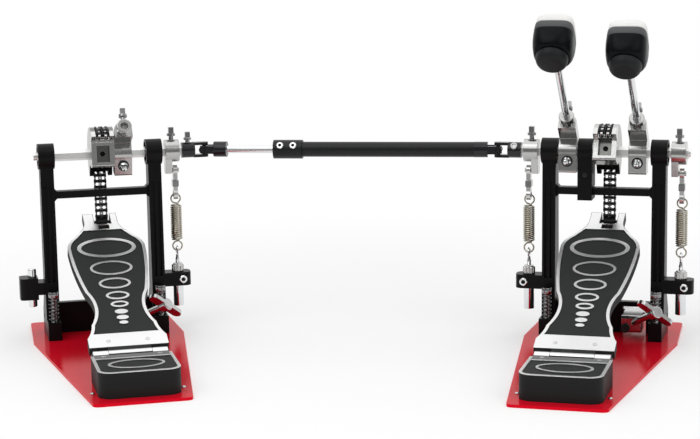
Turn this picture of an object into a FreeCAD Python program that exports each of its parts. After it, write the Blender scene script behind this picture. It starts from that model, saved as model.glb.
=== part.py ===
"""Double bass drum pedal: two chain-drive foot pedals joined by a universal-joint link shaft.

The primary pedal carries two beaters. Its right half shaft is driven by its own footboard, and its left
half shaft by the secondary pedal through the link. Frame: the primary pedal's own, origin on the floor
under the middle of its shaft, X to the right along the shaft, Y towards the drum, Z up. Millimetres.
"""
import FreeCAD, Part
import math
import os
import re

import Sketcher
from FreeCAD import Placement, Rotation, Vector

SIZES = {
    # Stance of the two pedals and the link between them
    "shaft_height": 195, "link_length": 315, "link_yaw": 8, "secondary_yaw": 29.6, "joint_reach": 112,
    # Fits
    "running_gap": 0.06, "seat_gap": 0.1, "loose_gap": 0.35,
    # Base plate
    "base_thickness": 3, "base_front": 301, "base_front_width": 92, "base_mid": 28, "base_mid_width": 159,
    "base_rear": 66, "base_rear_width": 151, "base_corner": 6,
    # Frame casting
    "post_spacing": 113.4, "post_width": 14, "post_depth_low": 25, "post_depth_high": 18,
    "eye_diameter": 27, "eye_width": 17, "foot_front": 31, "foot_rear": 30,
    "foot_height": 19, "foot_back_height": 23,
    "shoulder_height": 48, "flute_width": 3, "flute_depth": 1.6, "flute_spacing": 5.6,
    "crossbar_drop": 41, "crossbar_thickness": 7.6, "crossbar_depth": 11, "crossbar_flare": 4,
    "bridge_front": 7, "bridge_thickness": 8, "bridge_height": 33,
    "lug_reach": 36, "lug_depth": 20, "lug_bottom": 49.5, "lug_height": 14.5, "lug_corner": 7,
    # Shaft line
    "hex_width": 10, "journal_diameter": 9.4, "stub_diameter": 8, "bearing_diameter": 21,
    "bearing_width": 6, "end_cap": 8, "support_x": 19.2, "support_width": 15, "support_drop": 5,
    "support_depth": 24, "half_shaft_gap": 1.2,
    # Chain wheel and duplex chain
    "chain_pitch": 6.35, "wheel_teeth": 26, "roller_diameter": 3.3, "roller_length": 3,
    "row_spacing": 6.5, "plate_thickness": 0.8, "plate_height": 5.6, "pin_diameter": 2,
    "strand_pitches": 12, "strand_lean": 2, "wrap_pitches": 7, "wheel_x": 2, "sector_start": -62,
    "sector_sweep": 195, "tooth_thickness": 2.6, "tooth_height": 1.7, "tooth_flare": 0.35,
    "flange_diameter": 57, "flange_gap": 0.5, "hub_block_width": 24, "hub_block_height": 28,
    "hub_block_front": 16.5, "block_corner": 2.5, "primary_block_tilt": 24, "secondary_block_tilt": 6,
    "window_width": 13.6, "window_height": 17.6, "window_depth": 6, "block_hole": 5.4,
    "toe_pin_diameter": 3.4, "toe_slack": 1.5,
    # Beater hubs and beaters
    "hub_width": 18.4, "hub_ring": 25, "rod_diameter": 8, "rod_offset": 14.5, "boss_width": 16,
    "boss_shoulder": 30, "boss_top": 41, "boss_bottom": 13, "rod_screw_drop": 5.5, "lug_turn": 47,
    "lug_drop": 21.5, "lug_face": 12.4, "lug_back": 4, "lug_screw_drop": 9.5, "lug_screw_depth": 11,
    "primary_hub_x": 34.8, "slave_hub_x": 37.4, "secondary_hub_x": 23.7,
    "primary_lean": 48, "slave_lean": 45, "secondary_lean": 62, "beater_reach": 150, "rod_tail": 16,
    "head_width": 41, "head_height": 45, "head_depth": 30, "felt_depth": 10, "head_corner": 11,
    "nose_depth": 10,
    # Rocker, link, spring and tensioner
    "rocker_x": 76.4, "rocker_width": 15, "rocker_ring": 24, "rocker_arm": 21, "arm_width": 7,
    "stud_diameter": 5, "swivel_length": 26, "swivel_gap": 1.2, "swivel_width": 11,
    "swivel_thickness": 4.6, "hook_hole": 6.6, "spring_bottom": 87, "spring_radius": 5.4, "spring_wire": 1.7,
    "coil_pitch": 2.16, "spring_taper": 2.6, "loop_radius": 5, "taper_radius": 1.8, "eye_ring": 4.4,
    "eye_wire": 2.2, "tension_rod": 5, "tension_nut": 13, "tension_nut_height": 7.5, "sleeve_diameter": 11,
    "sleeve_length": 23,
    # Spurs
    "spur_y": 23, "spur_diameter": 6, "spur_height": 32, "spur_head": 10.4, "spur_head_height": 6,
    "spur_coil": 4.7, "spur_wire": 1.3, "spur_turns": 6, "spur_tip": 1,
    # Heel plate and hinge
    "heel_front": 287, "heel_rear": 217, "heel_width": 78, "heel_top": 28, "heel_corner": 13,
    "heel_rim": 3, "field_depth": 0.8, "heel_oval": 27, "heel_oval_y": 255,
    "hinge_y": 209.5, "hinge_height": 26, "knuckle_radius": 5, "hinge_width": 72, "knuckle_width": 42,
    "hinge_pin": 4.4, "leaf_length": 16, "leaf_thickness": 2.6,
    # Footboard, along its own length from the hinge axis
    "board_start": 8.5, "board_top": 4.4, "board_depth": 9, "board_wall": 4, "board_skin": 3.6,
    "board_rim": 3.2, "heel_half": 38.5, "band_end": 28, "waist_half": 25.5, "waist_at": 76,
    "flank_half": 31.5, "flank_at": 107, "belly_half": 40.5, "belly_at": 193, "shoulder_half": 25,
    "shoulder_at": 224, "neck_half": 18, "neck_at": 243, "toe_lip": 10.5, "slot_half": 8.8,
    "slot_depth": 11.5, "toe_bridge": 12.4, "toe_window_width": 11, "toe_window_length": 7.4,
    "ring_stroke": 2.7, "first_ring_stroke": 4.2, "oval_ratio": 0.62,
    "hollow_ovals": 5, "oval1_at": 191, "oval1_half": 30.7, "oval2_at": 151, "oval2_half": 21.9,
    "oval3_at": 121.5, "oval3_half": 16.4, "oval4_at": 98.6, "oval4_half": 11.9, "oval5_at": 82.6,
    "oval5_half": 9, "oval6_at": 69, "oval6_half": 6.6, "oval7_at": 58.5, "oval7_half": 6, "oval8_at": 49.5,
    "oval8_half": 4.4,
    # Hoop clamp
    "jaw_pivot_y": 22, "jaw_pivot_height": 20, "jaw_reach": 62, "jaw_width": 46, "jaw_thickness": 8,
    "jaw_lip": 12, "jaw_gap": 12, "tail_x": 31, "tail_width": 20, "tail_front": 20, "jaw_pin": 6,
    "wing_yaw": 40, "wing_pitch": 24, "wing_screw": 7, "wing_shank": 51, "wing_span": 42, "wing_height": 11,
    "wing_thickness": 4, "wing_knob": 13,
    # Anchor clamp on the secondary pedal
    "anchor_bottom": 44, "anchor_height": 23, "anchor_reach": 26, "anchor_depth": 22, "anchor_rod_x": 76.4,
    "anchor_rod": 9.2, "anchor_rod_bottom": 35, "anchor_rod_length": 41, "anchor_shank": 26,
    "anchor_wing": 24, "anchor_neck": 7, "anchor_neck_drop": 5,
    # Link shaft and universal joints
    "tube_diameter": 16, "collar_diameter": 20, "collar_start": 76, "collar_length": 31, "link_rod": 8.4,
    "link_rod_length": 190, "yoke_diameter": 16.5, "yoke_barrel": 14, "fork_depth": 11, "fork_gap": 10,
    "ear_thickness": 3, "ear_width": 8.4, "cross_pin": 4.4, "cross_block": 7.6, "open_pivot_gap": 0.4,
    # Drum-key screws
    "key_screw": 5, "key_head": 9, "key_head_height": 2.6, "key_square": 5.4, "key_square_height": 6.6,
    "screw_stand": 4,
}

doc = FreeCAD.newDocument("double_bass_drum_pedal")
sheet = doc.addObject("Spreadsheet::Sheet", "Sizes")
for row, (alias, number) in enumerate(SIZES.items(), 1):
    sheet.set(f"A{row}", alias)
    sheet.set(f"B{row}", str(number))
    sheet.setAlias(f"B{row}", alias)
doc.recompute()

NODES = []


def bound(text):
    """An expression over size names, as one over the sheet's cells."""
    return re.sub(r"[a-z]\w*", lambda m: "Sizes." + m.group() if m.group() in SIZES else m.group(), str(text))


def value(text):
    return float(sheet.evalExpression(bound(text)))


def polygon(*points):
    return ("polygon", points)


def circle(x, y, radius):
    return ("circle", x, y, radius)


def rectangle(x0, y0, x1, y1):
    return polygon((x0, y0), (x1, y0), (x1, y1), (x0, y1))


PLANES = {"X": "YZ_Plane", "Y": "XZ_Plane", "Z": "XY_Plane"}


class Piece:
    """A body whose sketches and lengths are bound to the sheet."""

    def __init__(self, label, place=Placement()):
        self.body = doc.addObject("PartDesign::Body", label)
        self.body.Label = label
        self.body.AllowCompound = True
        self.place = place
        NODES.append(self)

    def seat(self):
        self.body.Placement = self.place

    def fix(self, sketch, kind, geometry, corner, text):
        index = sketch.addConstraint(Sketcher.Constraint(kind, -1, 1, geometry, corner, value(text)))
        sketch.setExpression(f"Constraints[{index}]", bound(text))

    def draw(self, sketch, shape):
        if shape[0] == "circle":
            x, y, radius = shape[1:]
            center = Vector(value(x), value(y), 0)
            ring = sketch.addGeometry(Part.Circle(center, Vector(0, 0, 1), value(radius)))
            self.fix(sketch, "DistanceX", ring, 3, x)
            self.fix(sketch, "DistanceY", ring, 3, y)
            index = sketch.addConstraint(Sketcher.Constraint("Radius", ring, value(radius)))
            sketch.setExpression(f"Constraints[{index}]", bound(radius))
            return
        points = shape[1]
        corners = [Vector(value(x), value(y), 0) for x, y in points]
        lines = [sketch.addGeometry(Part.LineSegment(a, b))
                 for a, b in zip(corners, corners[1:] + corners[:1])]
        for line, following in zip(lines, lines[1:] + lines[:1]):
            sketch.addConstraint(Sketcher.Constraint("Coincident", line, 2, following, 1))
        for line, (x, y) in zip(lines, points):
            self.fix(sketch, "DistanceX", line, 1, x)
            self.fix(sketch, "DistanceY", line, 1, y)

    def sketch(self, axis, start, length, shapes):
        made = self.body.newObject("Sketcher::SketchObject", self.body.Name + "_outline")
        support = next(f for f in self.body.Origin.OriginFeatures if f.Role == PLANES[axis])
        made.AttachmentSupport = (support, [""])
        made.MapMode = "FlatFace"
        offset = f"-({start}) - ({length})" if axis == "Y" else start
        made.setExpression("AttachmentOffset.Base.z", bound(offset))
        for shape in shapes:
            self.draw(made, shape)
        return made

    def feature(self, kind, axis, start, length, shapes):
        made = self.sketch(axis, start, length, shapes)
        result = self.body.newObject("PartDesign::" + kind, self.body.Name + "_" + kind.lower())
        result.Profile = made
        result.setExpression("Length", bound(length))
        return result

    def add(self, axis, start, length, *shapes):
        """Pad outlines, drawn square to an axis, from start along that axis."""
        self.feature("Pad", axis, start, length, shapes)
        return self

    def cut(self, axis, start, length, *shapes):
        """Pocket outlines from start along the axis."""
        self.feature("Pocket", axis, start, length, shapes).Reversed = True
        return self

    def bore(self, axis, x, y, radius):
        reach = 400
        return self.cut(axis, -reach, 2 * reach, circle(x, y, radius))

    def fillet(self, radius, picked):
        doc.recompute()
        tip = self.body.Tip
        names = [f"Edge{n}" for n, edge in enumerate(tip.Shape.Edges, 1) if picked(edge)]
        rounded = self.body.newObject("PartDesign::Fillet", self.body.Name + "_fillet")
        rounded.Base = (tip, names)
        rounded.setExpression("Radius", bound(radius))
        return self

    @property
    def shape(self):
        return self.body.Shape


class Free:
    """A node whose shape is worked out in code from the sheet's sizes."""

    def __init__(self, label, shape, place=Placement()):
        self.body = doc.addObject("Part::Feature", label)
        self.body.Label = label
        self.body.Shape = shape
        self.place = place
        NODES.append(self)

    def seat(self):
        self.body.Placement = self.place


def moved(x=0, y=0, z=0, axis=(0, 0, 1), angle=0):
    return Placement(Vector(x, y, z), Rotation(Vector(*axis), angle))


def upright(edge):
    """True for a straight edge along Z."""
    ends = [v.Point for v in edge.Vertexes]
    return len(ends) == 2 and math.hypot(ends[0].x - ends[1].x, ends[0].y - ends[1].y) < 1e-6


def cylinder(radius, length, base, axis):
    return Part.makeCylinder(radius, length, Vector(*base), Vector(*axis))


def box(low, high):
    spans = [b - a for a, b in zip(low, high)]
    return Part.makeBox(*spans, Vector(*low))


# Placements of the pedals, the link and the shaft lines
HEIGHT = value("shaft_height")
REACH = value("joint_reach")
LINK_YAW = math.radians(value("link_yaw"))
SECONDARY_YAW = math.radians(value("secondary_yaw"))
far_joint = Vector(-REACH - value("link_length") * math.cos(LINK_YAW),
                   -value("link_length") * math.sin(LINK_YAW), 0)
PRIMARY = Placement()
SECONDARY = moved(far_joint.x - REACH * math.cos(SECONDARY_YAW),
                  far_joint.y - REACH * math.sin(SECONDARY_YAW), 0, angle=value("secondary_yaw"))
LINK = moved(far_joint.x, far_joint.y, HEIGHT, angle=value("link_yaw"))
SHAFT = moved(z=HEIGHT)

CROSSBAR = "(shaft_height - crossbar_drop)"
SPRING_TOP = "(shaft_height - rocker_arm - swivel_length)"
# The spring hangs in the plane of the swivel, outside the rocker's arm
SPRING_X = "(rocker_x - rocker_width/2 + arm_width + swivel_gap + swivel_thickness/2)"


def base_plate(name, place):
    plate = Piece(name + "_base_plate", place)
    plate.add("Z", 0, "base_thickness", polygon(
        ("-base_front_width/2", "-base_front"), ("base_front_width/2", "-base_front"),
        ("base_mid_width/2", "-base_mid"), ("base_rear_width/2", "base_rear"),
        ("-base_rear_width/2", "base_rear"), ("-base_mid_width/2", "-base_mid")))
    plate.fillet("base_corner", upright)
    for side in (-1, 1):
        plate.bore("Z", f"{side}*post_spacing/2", "-spur_y", "spur_diameter/2 + loose_gap")


def frame(name, place, lugs):
    """The one-piece casting: two posts with bearing eyes, crossbar, low bridge and spring lugs."""
    cast = Piece(name + "_frame", place)
    side_view = polygon(
        ("-foot_front", "base_thickness"), ("foot_rear", "base_thickness"),
        ("foot_rear", "base_thickness + foot_back_height"),
        ("post_depth_low/2", "shoulder_height"), ("post_depth_high/2", "shaft_height - 8"),
        ("-post_depth_high/2", "shaft_height - 8"), ("-post_depth_low/2", "shoulder_height - 6"),
        ("-post_depth_low/2 - 1", "base_thickness + foot_height"),
        ("-foot_front", "base_thickness + foot_height"))
    for side in (-1, 1):
        cast.add("X", f"{side}*post_spacing/2 - post_width/2", "post_width", side_view)
        cast.add("X", f"{side}*post_spacing/2 - eye_width/2", "eye_width",
                 circle(0, "shaft_height", "eye_diameter/2"))
    inner = "post_spacing/2 - post_width/2 + 1"
    low = f"{CROSSBAR} - crossbar_thickness/2"
    high = f"{CROSSBAR} + crossbar_thickness/2"
    flare = "crossbar_flare"
    cast.add("Y", "-crossbar_depth/2", "crossbar_depth", polygon(
        (f"-({inner})", f"{low} - {flare}"), (f"-({inner}) + {flare}", low), (f"{inner} - {flare}", low),
        (inner, f"{low} - {flare}"), (inner, f"{high} + {flare}"), (f"{inner} - {flare}", high),
        (f"-({inner}) + {flare}", high), (f"-({inner})", f"{high} + {flare}")))
    cast.add("Y", "bridge_front", "bridge_thickness",
             rectangle(f"-({inner})", "base_thickness", inner, "base_thickness + bridge_height"))
    for side in lugs:
        root = f"{side}*(post_spacing/2)"
        tip = f"{side}*(post_spacing/2 + lug_reach)"
        cast.add("Z", "lug_bottom", "lug_height", rectangle(root, "-lug_depth/2", tip, "lug_depth/2"))
    tip_x = value("post_spacing/2 + lug_reach")
    cast.fillet("lug_corner", lambda e: upright(e) and abs(abs(e.Vertexes[0].X) - tip_x) < 0.01)
    for side in lugs:
        cast.bore("Z", f"{side}*{SPRING_X}", 0, "tension_rod/2 + seat_gap")
    for side in (-1, 1):
        cast.cut("X", f"{side}*post_spacing/2 - eye_width/2", "eye_width",
                 circle(0, "shaft_height", "bearing_diameter/2"))
        cast.bore("Z", f"{side}*post_spacing/2", "-spur_y", "spur_diameter/2 + seat_gap")
        for flute in (-1, 1):
            middle = f"{side}*post_spacing/2 + {flute}*flute_spacing/2"
            cast.cut("Z", "shoulder_height + 14", "shaft_height - eye_diameter - shoulder_height - 18",
                     rectangle(f"{middle} - flute_width/2", "-post_depth_low", f"{middle} + flute_width/2",
                               "-post_depth_high/2 + flute_depth/2"))
    # Window in the bridge for the clamp's tail, and the jaw's pivot seat behind the bridge
    cast.cut("Y", "bridge_front", "bridge_thickness", rectangle(
        "tail_x - tail_width/2 - 2", "base_thickness", "tail_x + tail_width/2 + 2", "base_thickness + 28"))
    cast.bore("X", "jaw_pivot_y", "jaw_pivot_height", "jaw_pin/2 + running_gap")


def center_support(place):
    """Bracket hung on the primary crossbar that carries the inner ends of both half shafts."""
    bracket = Piece("primary_center_support", place)
    start = "-support_x - support_width/2"
    bottom = f"{CROSSBAR} - crossbar_thickness/2 - support_drop"
    bracket.add("X", start, "support_width", circle(0, "shaft_height", "eye_diameter/2"))
    bracket.add("X", start, "support_width", rectangle(
        "-support_depth/2", bottom, "support_depth/2", "shaft_height"))
    bracket.cut("X", start, "support_width", rectangle(
        "-crossbar_depth/2 - seat_gap", f"{CROSSBAR} - crossbar_thickness/2 - seat_gap", "support_depth",
        f"{CROSSBAR} + crossbar_thickness/2 + seat_gap"))
    bracket.cut("X", start, "support_width", circle(0, "shaft_height", "bearing_diameter/2"))


def bearings(name, place, centers):
    rings = Piece(name + "_bearings", place)
    for x in centers:
        rings.add("X", f"{x} - bearing_width/2", "bearing_width",
                  circle(0, "shaft_height", "bearing_diameter/2 - running_gap/2"),
                  circle(0, "shaft_height", "journal_diameter/2 + running_gap"))


def hexagon(flat="hex_width/2", turn="0"):
    """Hexagon of half width flat, with flats to front and back before the turn in degrees."""
    corner = f"({flat})*2/sqrt(3)"
    angles = [f"{30 + 60 * n} + {turn}" for n in range(6)]
    return polygon(*[(f"{corner}*cos({angle})", f"{corner}*sin({angle})") for angle in angles])


def shaft(label, place, spans):
    """A hex shaft with turned journals, built from spans of (kind, start, end)."""
    bar = Piece(label, place)
    for kind, start, end in spans:
        outline = hexagon() if kind == "hex" else circle(0, 0, kind)
        bar.add("X", start, f"({end}) - ({start})", outline)


# The chain hinges at this pin of its wrapped run
BREAK = 2
POST = "post_spacing/2"
EYE = "(eye_width/2 + 0.4)"
ROUND = "journal_diameter/2"
STUB = "stub_diameter/2"


def wheel_radius():
    return value("chain_pitch") / (2 * math.sin(math.pi / value("wheel_teeth")))


def tooth_mouth(seat, angle, half, length):
    """The flared gap above a roller's seat."""
    out = Vector(0, math.cos(angle), math.sin(angle))
    across = Vector(0, -math.sin(angle), math.cos(angle))
    height = value("tooth_height") + 1
    flare = half + height * value("tooth_flare")
    corners = [seat - across * half, seat + across * half, seat + out * height + across * flare,
               seat + out * height - across * flare]
    return Part.Face(Part.makePolygon(corners + corners[:1])).extrude(Vector(length, 0, 0))


def chain_half_width():
    """From the chain's middle to the ends of its pins."""
    return value("row_spacing/2 + roller_length/2 + 2.5*plate_thickness + running_gap")


def sprocket(name, place):
    """Duplex toothed sector between side flanges, on a hub with a tilted front block and window."""
    radius = wheel_radius()
    step = 360 / value("wheel_teeth")
    lean = value("strand_lean")
    row = value("row_spacing") / 2
    tooth = value("tooth_thickness")
    roller = value("roller_diameter") / 2
    outer = radius + value("tooth_height")
    web = radius - value("plate_height") / 2 - value("flange_gap")
    middle = value("wheel_x")
    block = value("hub_block_width")
    wheel = cylinder(web, block, (middle - block / 2, 0, 0), (1, 0, 0))
    for side in (-1, 1):
        teeth = cylinder(outer, tooth, (middle + side * row - tooth / 2, 0, 0), (1, 0, 0))
        for index in range(-4, int(value("wrap_pitches")) + 4):
            angle = math.radians(index * step - lean)
            pocket = roller + value("loose_gap" if index < BREAK else "seat_gap")
            seat = (middle - row - tooth, radius * math.cos(angle), radius * math.sin(angle))
            teeth = teeth.cut([cylinder(pocket, 2 * row + 2 * tooth, seat, (1, 0, 0)),
                               tooth_mouth(Vector(*seat), angle, pocket, 2 * row + 2 * tooth)])
        inner = chain_half_width() + value("flange_gap")
        start = middle + inner if side > 0 else middle - block / 2
        flange = cylinder(value("flange_diameter") / 2, block / 2 - inner, (start, 0, 0), (1, 0, 0))
        wheel = wheel.fuse([teeth, flange])
    keep = cylinder(value("hub_ring") / 2, 2 * block, (middle - block, 0, 0), (1, 0, 0))
    points = [Vector(middle - block, 0, 0)]
    for quarter in range(5):
        angle = math.radians(value("sector_start") - (360 - value("sector_sweep")) * quarter / 4)
        points.append(Vector(middle - block, 3 * outer * math.cos(angle), 3 * outer * math.sin(angle)))
    wedge = Part.Face(Part.makePolygon(points + points[:1])).extrude(Vector(2 * block, 0, 0)).cut(keep)
    wheel = wheel.cut(wedge)
    hub = cylinder(value("hub_ring") / 2, block, (middle - block / 2, 0, 0), (1, 0, 0))
    half = value("hub_block_height") / 2
    depth = value("hub_block_front")
    front = box((middle - block / 2, -depth, -half), (middle + block / 2, 0, half))
    rims = [e for e in front.Edges if e.BoundBox.XLength > 1 and e.BoundBox.YMax < -depth / 2]
    front = front.makeFillet(value("block_corner"), rims)
    wide = value("window_width") / 2
    tall = value("window_height") / 2
    window = box((middle - wide, -2 * depth, -tall), (middle + wide, value("window_depth") - depth, tall))
    hole = cylinder(value("block_hole") / 2, depth, (middle, -depth, 0), (0, 1, 0))
    for piece in (front, window, hole):
        piece.rotate(Vector(), Vector(1, 0, 0), -value(name + "_block_tilt"))
    bore = hex_prism(value("hex_width") / 2 + value("running_gap"), middle - block, 2 * block)
    Free(name + "_sprocket", wheel.fuse([hub, front]).cut([window, hole, bore]).removeSplitter(), place)


def hex_prism(flat, start, length):
    points = [Vector(start, 2 * flat / math.sqrt(3) * math.sin(math.radians(60 * n)),
                     2 * flat / math.sqrt(3) * math.cos(math.radians(60 * n))) for n in range(7)]
    return Part.Face(Part.makePolygon(points)).extrude(Vector(length, 0, 0))


def chain_points():
    """Chain joints in the shaft's YZ plane, from the toe pin up the strand and round the wheel."""
    radius = wheel_radius()
    lean = math.radians(value("strand_lean"))
    step = 2 * math.pi / value("wheel_teeth")
    pitch = value("chain_pitch")
    tangent = (radius * math.cos(lean), -radius * math.sin(lean))
    strand = [(tangent[0] - n * pitch * math.sin(lean), tangent[1] - n * pitch * math.cos(lean))
              for n in range(int(value("strand_pitches")), 0, -1)]
    wrap = [(radius * math.cos(n * step - lean), radius * math.sin(n * step - lean))
            for n in range(int(value("wrap_pitches")) + 3)]
    return strand, wrap


def link_plate(start, end, middle, thickness, height):
    """A rounded link plate between two chain joints, at a place across the chain."""
    (y0, z0), (y1, z1) = start, end
    length = math.hypot(y1 - y0, z1 - z0)
    across = Vector(0, -(z1 - z0) / length, (y1 - y0) / length) * (height / 2)
    along = Vector(0, (y1 - y0) / length, (z1 - z0) / length) * (height / 2)
    a = Vector(middle - thickness / 2, y0, z0)
    b = Vector(middle - thickness / 2, y1, z1)
    edges = [Part.makeLine(a + across, b + across), Part.Arc(b + across, b + along, b - across).toShape(),
             Part.makeLine(b - across, a - across), Part.Arc(a - across, a - along, a + across).toShape()]
    return Part.Face(Part.Wire(edges)).extrude(Vector(thickness, 0, 0))


def chain_run(joints, first_is_outer, open_first, open_last):
    """Rollers, pins and alternating plates along a list of joints, as one solid."""
    row = value("row_spacing") / 2
    thickness = value("plate_thickness")
    height = value("plate_height")
    roller = value("roller_diameter") / 2
    half = value("roller_length") / 2
    pin = value("pin_diameter") / 2
    middle = value("wheel_x")
    inner = half + thickness / 2
    outer = half + 1.5 * thickness + value("running_gap")
    solids = []
    for index, (start, end) in enumerate(zip(joints, joints[1:])):
        if (index % 2 == 0) == first_is_outer:
            offsets = [-row - outer, 0, row + outer]
        else:
            offsets = [side * row + gap for side in (-1, 1) for gap in (-inner, inner)]
        solids += [link_plate(start, end, middle + x, thickness, height) for x in offsets]
    pin_half = row + outer + thickness
    for index, (y, z) in enumerate(joints):
        if (index == 0 and open_first) or (index == len(joints) - 1 and open_last):
            continue
        solids.append(cylinder(pin, 2 * pin_half, (middle - pin_half, y, z), (1, 0, 0)))
        solids += [cylinder(roller, 2 * half, (middle + side * row - half, y, z), (1, 0, 0))
                   for side in (-1, 1)]
    return solids


def chains(name, place):
    """Two rigid runs that hinge at one chain pin on the wheel: the wrapped run and the hanging strand."""
    strand, wrap = chain_points()
    middle = value("wheel_x")
    row = value("row_spacing") / 2
    half = value("roller_length") / 2
    thickness = value("plate_thickness")
    outer = half + 1.5 * thickness + value("running_gap")
    pin = value("pin_diameter") / 2
    roller = value("roller_diameter") / 2
    pin_half = row + outer + thickness

    solids = chain_run(wrap[BREAK:], True, True, False)
    y, z = wrap[BREAK]
    solids.append(cylinder(pin, 2 * pin_half, (middle - pin_half, y, z), (1, 0, 0)))
    Free(name + "_chain_wrap", solids[0].fuse(solids[1:]).removeSplitter(), place)

    joints = strand + wrap[:BREAK + 1]
    joints = joints[::-1]
    solids = chain_run(joints, False, True, True)
    solids += [cylinder(roller, 2 * half, (middle + side * row - half, y, z), (1, 0, 0)) for side in (-1, 1)]
    end_y, end_z = joints[-1]
    hole = value("toe_pin_diameter") / 2 + value("toe_slack")
    end_half = row + half + thickness
    solids.append(cylinder(hole + 1.8, 2 * end_half, (middle - end_half, end_y, end_z), (1, 0, 0)))
    run = solids[0].fuse(solids[1:])
    far = middle - 2 * end_half
    run = run.cut([cylinder(hole, 4 * end_half, (far, end_y, end_z), (1, 0, 0)),
                   cylinder(pin + value("running_gap"), 4 * end_half, (far, y, z), (1, 0, 0))])
    Free(name + "_chain_strand", run.removeSplitter(), place)


def beater_hub(label, place, lean):
    """Clamp on the shaft: boss and collar behind for the rod, whose axis is the hub's Z, and a screw lug."""
    half = value("hub_width") / 2
    ring = value("hub_ring") / 2
    offset = value("rod_offset")
    boss = value("boss_width") / 2
    top = value("boss_top")
    bottom = value("boss_bottom")
    shoulder = value("boss_shoulder")
    gap = value("running_gap")
    screw = value("key_screw") / 2 + gap
    back = offset + boss
    block = box((-half, 0, -bottom), (half, back, shoulder))
    block = block.cut(box((-half, 0, ring), (half, offset - boss, shoulder)))
    corners = [e for e in block.Edges if upright(e) and e.Vertexes[0].Y > back - 0.01]
    block = block.makeFillet(boss - 1.5, corners)
    collar = cylinder(boss, top - shoulder, (0, offset, shoulder), (0, 0, 1))
    collar = collar.makeFillet(1, [e for e in collar.Edges if e.BoundBox.ZMin > top - 0.01])
    face = value("lug_face")
    drop = value("lug_drop")
    lug = box((-half, -face, -drop), (half, value("lug_back"), 0))
    feet = [e for e in lug.Edges if e.BoundBox.ZMax < 0.01 - drop and e.BoundBox.XLength > 1]
    lug = lug.makeFillet(2, feet)
    seat = cylinder(screw, face, (0, -face, -value("lug_screw_drop")), (0, 1, 0))
    bore = hex_prism(value("hex_width") / 2 + gap, -2 * half, 4 * half)
    for piece in (lug, seat):
        piece.rotate(Vector(), Vector(1, 0, 0), -value("lug_turn"))
    bore.rotate(Vector(), Vector(1, 0, 0), -value(lean))
    socket = cylinder(value("rod_diameter") / 2 + gap, top + bottom, (0, offset, -bottom), (0, 0, 1))
    rod_seat = cylinder(screw, back, (0, offset, top - value("rod_screw_drop")), (0, 1, 0))
    hub = cylinder(ring, 2 * half, (-half, 0, 0), (1, 0, 0)).fuse([block, collar, lug])
    Free(label, hub.cut([seat, bore, socket, rod_seat]).removeSplitter(), place)


def beater(name, place):
    """Rod and head. The rod's axis is Z and the head strikes towards +Y."""
    rod = Piece(name + "_beater_rod", place)
    rod.add("Z", "-rod_tail", "rod_tail + beater_reach + 14", circle(0, "rod_offset", "rod_diameter/2"))
    width = value("head_width") / 2
    height = value("head_height") / 2
    center = Vector(0, value("rod_offset"), value("beater_reach"))
    front = value("head_depth") / 2
    felt = value("felt_depth")
    corner = value("head_corner")

    def section(y, inset, radius):
        return rounded_wire(center + Vector(0, y, 0), width - inset, height - inset, radius)

    body = Part.makeLoft([section(-front, 4.5, 15), section(-front * 0.3, 0.6, 14.5),
                          section(front, 0.8, corner)], True)
    nose = value("nose_depth")
    tip = Part.makeCone(width - 6.5, width - 10.5, nose, center + Vector(0, -front, 0), Vector(0, -1, 0))
    tip = tip.makeFillet(1.6, [e for e in tip.Edges if e.BoundBox.YMax < center.y - front - nose / 2])
    socket = cylinder(value("rod_diameter") / 2 + value("running_gap"), height + 20.5,
                      (0, center.y, center.z - height - 6), (0, 0, 1))
    pad = Part.makeLoft([section(front, 1.6, corner), section(front + felt * 0.6, 1.6, corner),
                         section(front + felt, 4.2, corner - 2)], True)
    Free(name + "_beater_head", Part.makeCompound([body.fuse(tip).cut(socket), pad]), place)


def rounded_wire(center, half_x, half_z, radius):
    """A rounded rectangle square to Y."""
    edges = []
    slack = radius * (1 - math.sqrt(0.5))
    for x, z in ((1, 1), (-1, 1), (-1, -1), (1, -1)):
        side = center + Vector(x * half_x, 0, z * (half_z - radius))
        bend = center + Vector(x * (half_x - slack), 0, z * (half_z - slack))
        end = center + Vector(x * (half_x - radius), 0, z * half_z)
        edges.append((side, bend, end) if x * z > 0 else (end, bend, side))
    parts = []
    for (a, b, c), (d, _, _) in zip(edges, edges[1:] + edges[:1]):
        parts += [Part.Arc(a, b, c).toShape(), Part.makeLine(c, d)]
    return Part.Wire(parts)


def rocker(label, place, side):
    """Spring cam: a ring on the shaft with an arm down to a stud that points away from the post."""
    cam = Piece(label, place)
    start = f"{side}*rocker_x - rocker_width/2"
    arm = f"{side}*rocker_x + {side}*(arm_width - rocker_width)/2 - arm_width/2"
    cam.add("X", start, "rocker_width", circle(0, 0, "rocker_ring/2"))
    cam.add("X", arm, "arm_width", polygon(
        ("-rocker_ring/2 + 1.5", 0), ("-stud_diameter/2 - 3", "-rocker_arm - 3"),
        ("stud_diameter/2 + 3", "-rocker_arm - 3"), ("rocker_ring/2 - 1.5", 0)))
    stud = f"{side}*(rocker_x - rocker_width/2 + arm_width)"
    if side < 0:
        stud += " - swivel_thickness - 3"
    cam.add("X", stud, "swivel_thickness + 3", circle(0, "-rocker_arm", "stud_diameter/2"))
    cam.cut("X", start, "rocker_width", hexagon("hex_width/2 + running_gap"))
    cam.cut("Z", "hex_width/2", "rocker_ring", circle(f"{side}*rocker_x", 0, "key_screw/2 + running_gap"))


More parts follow.
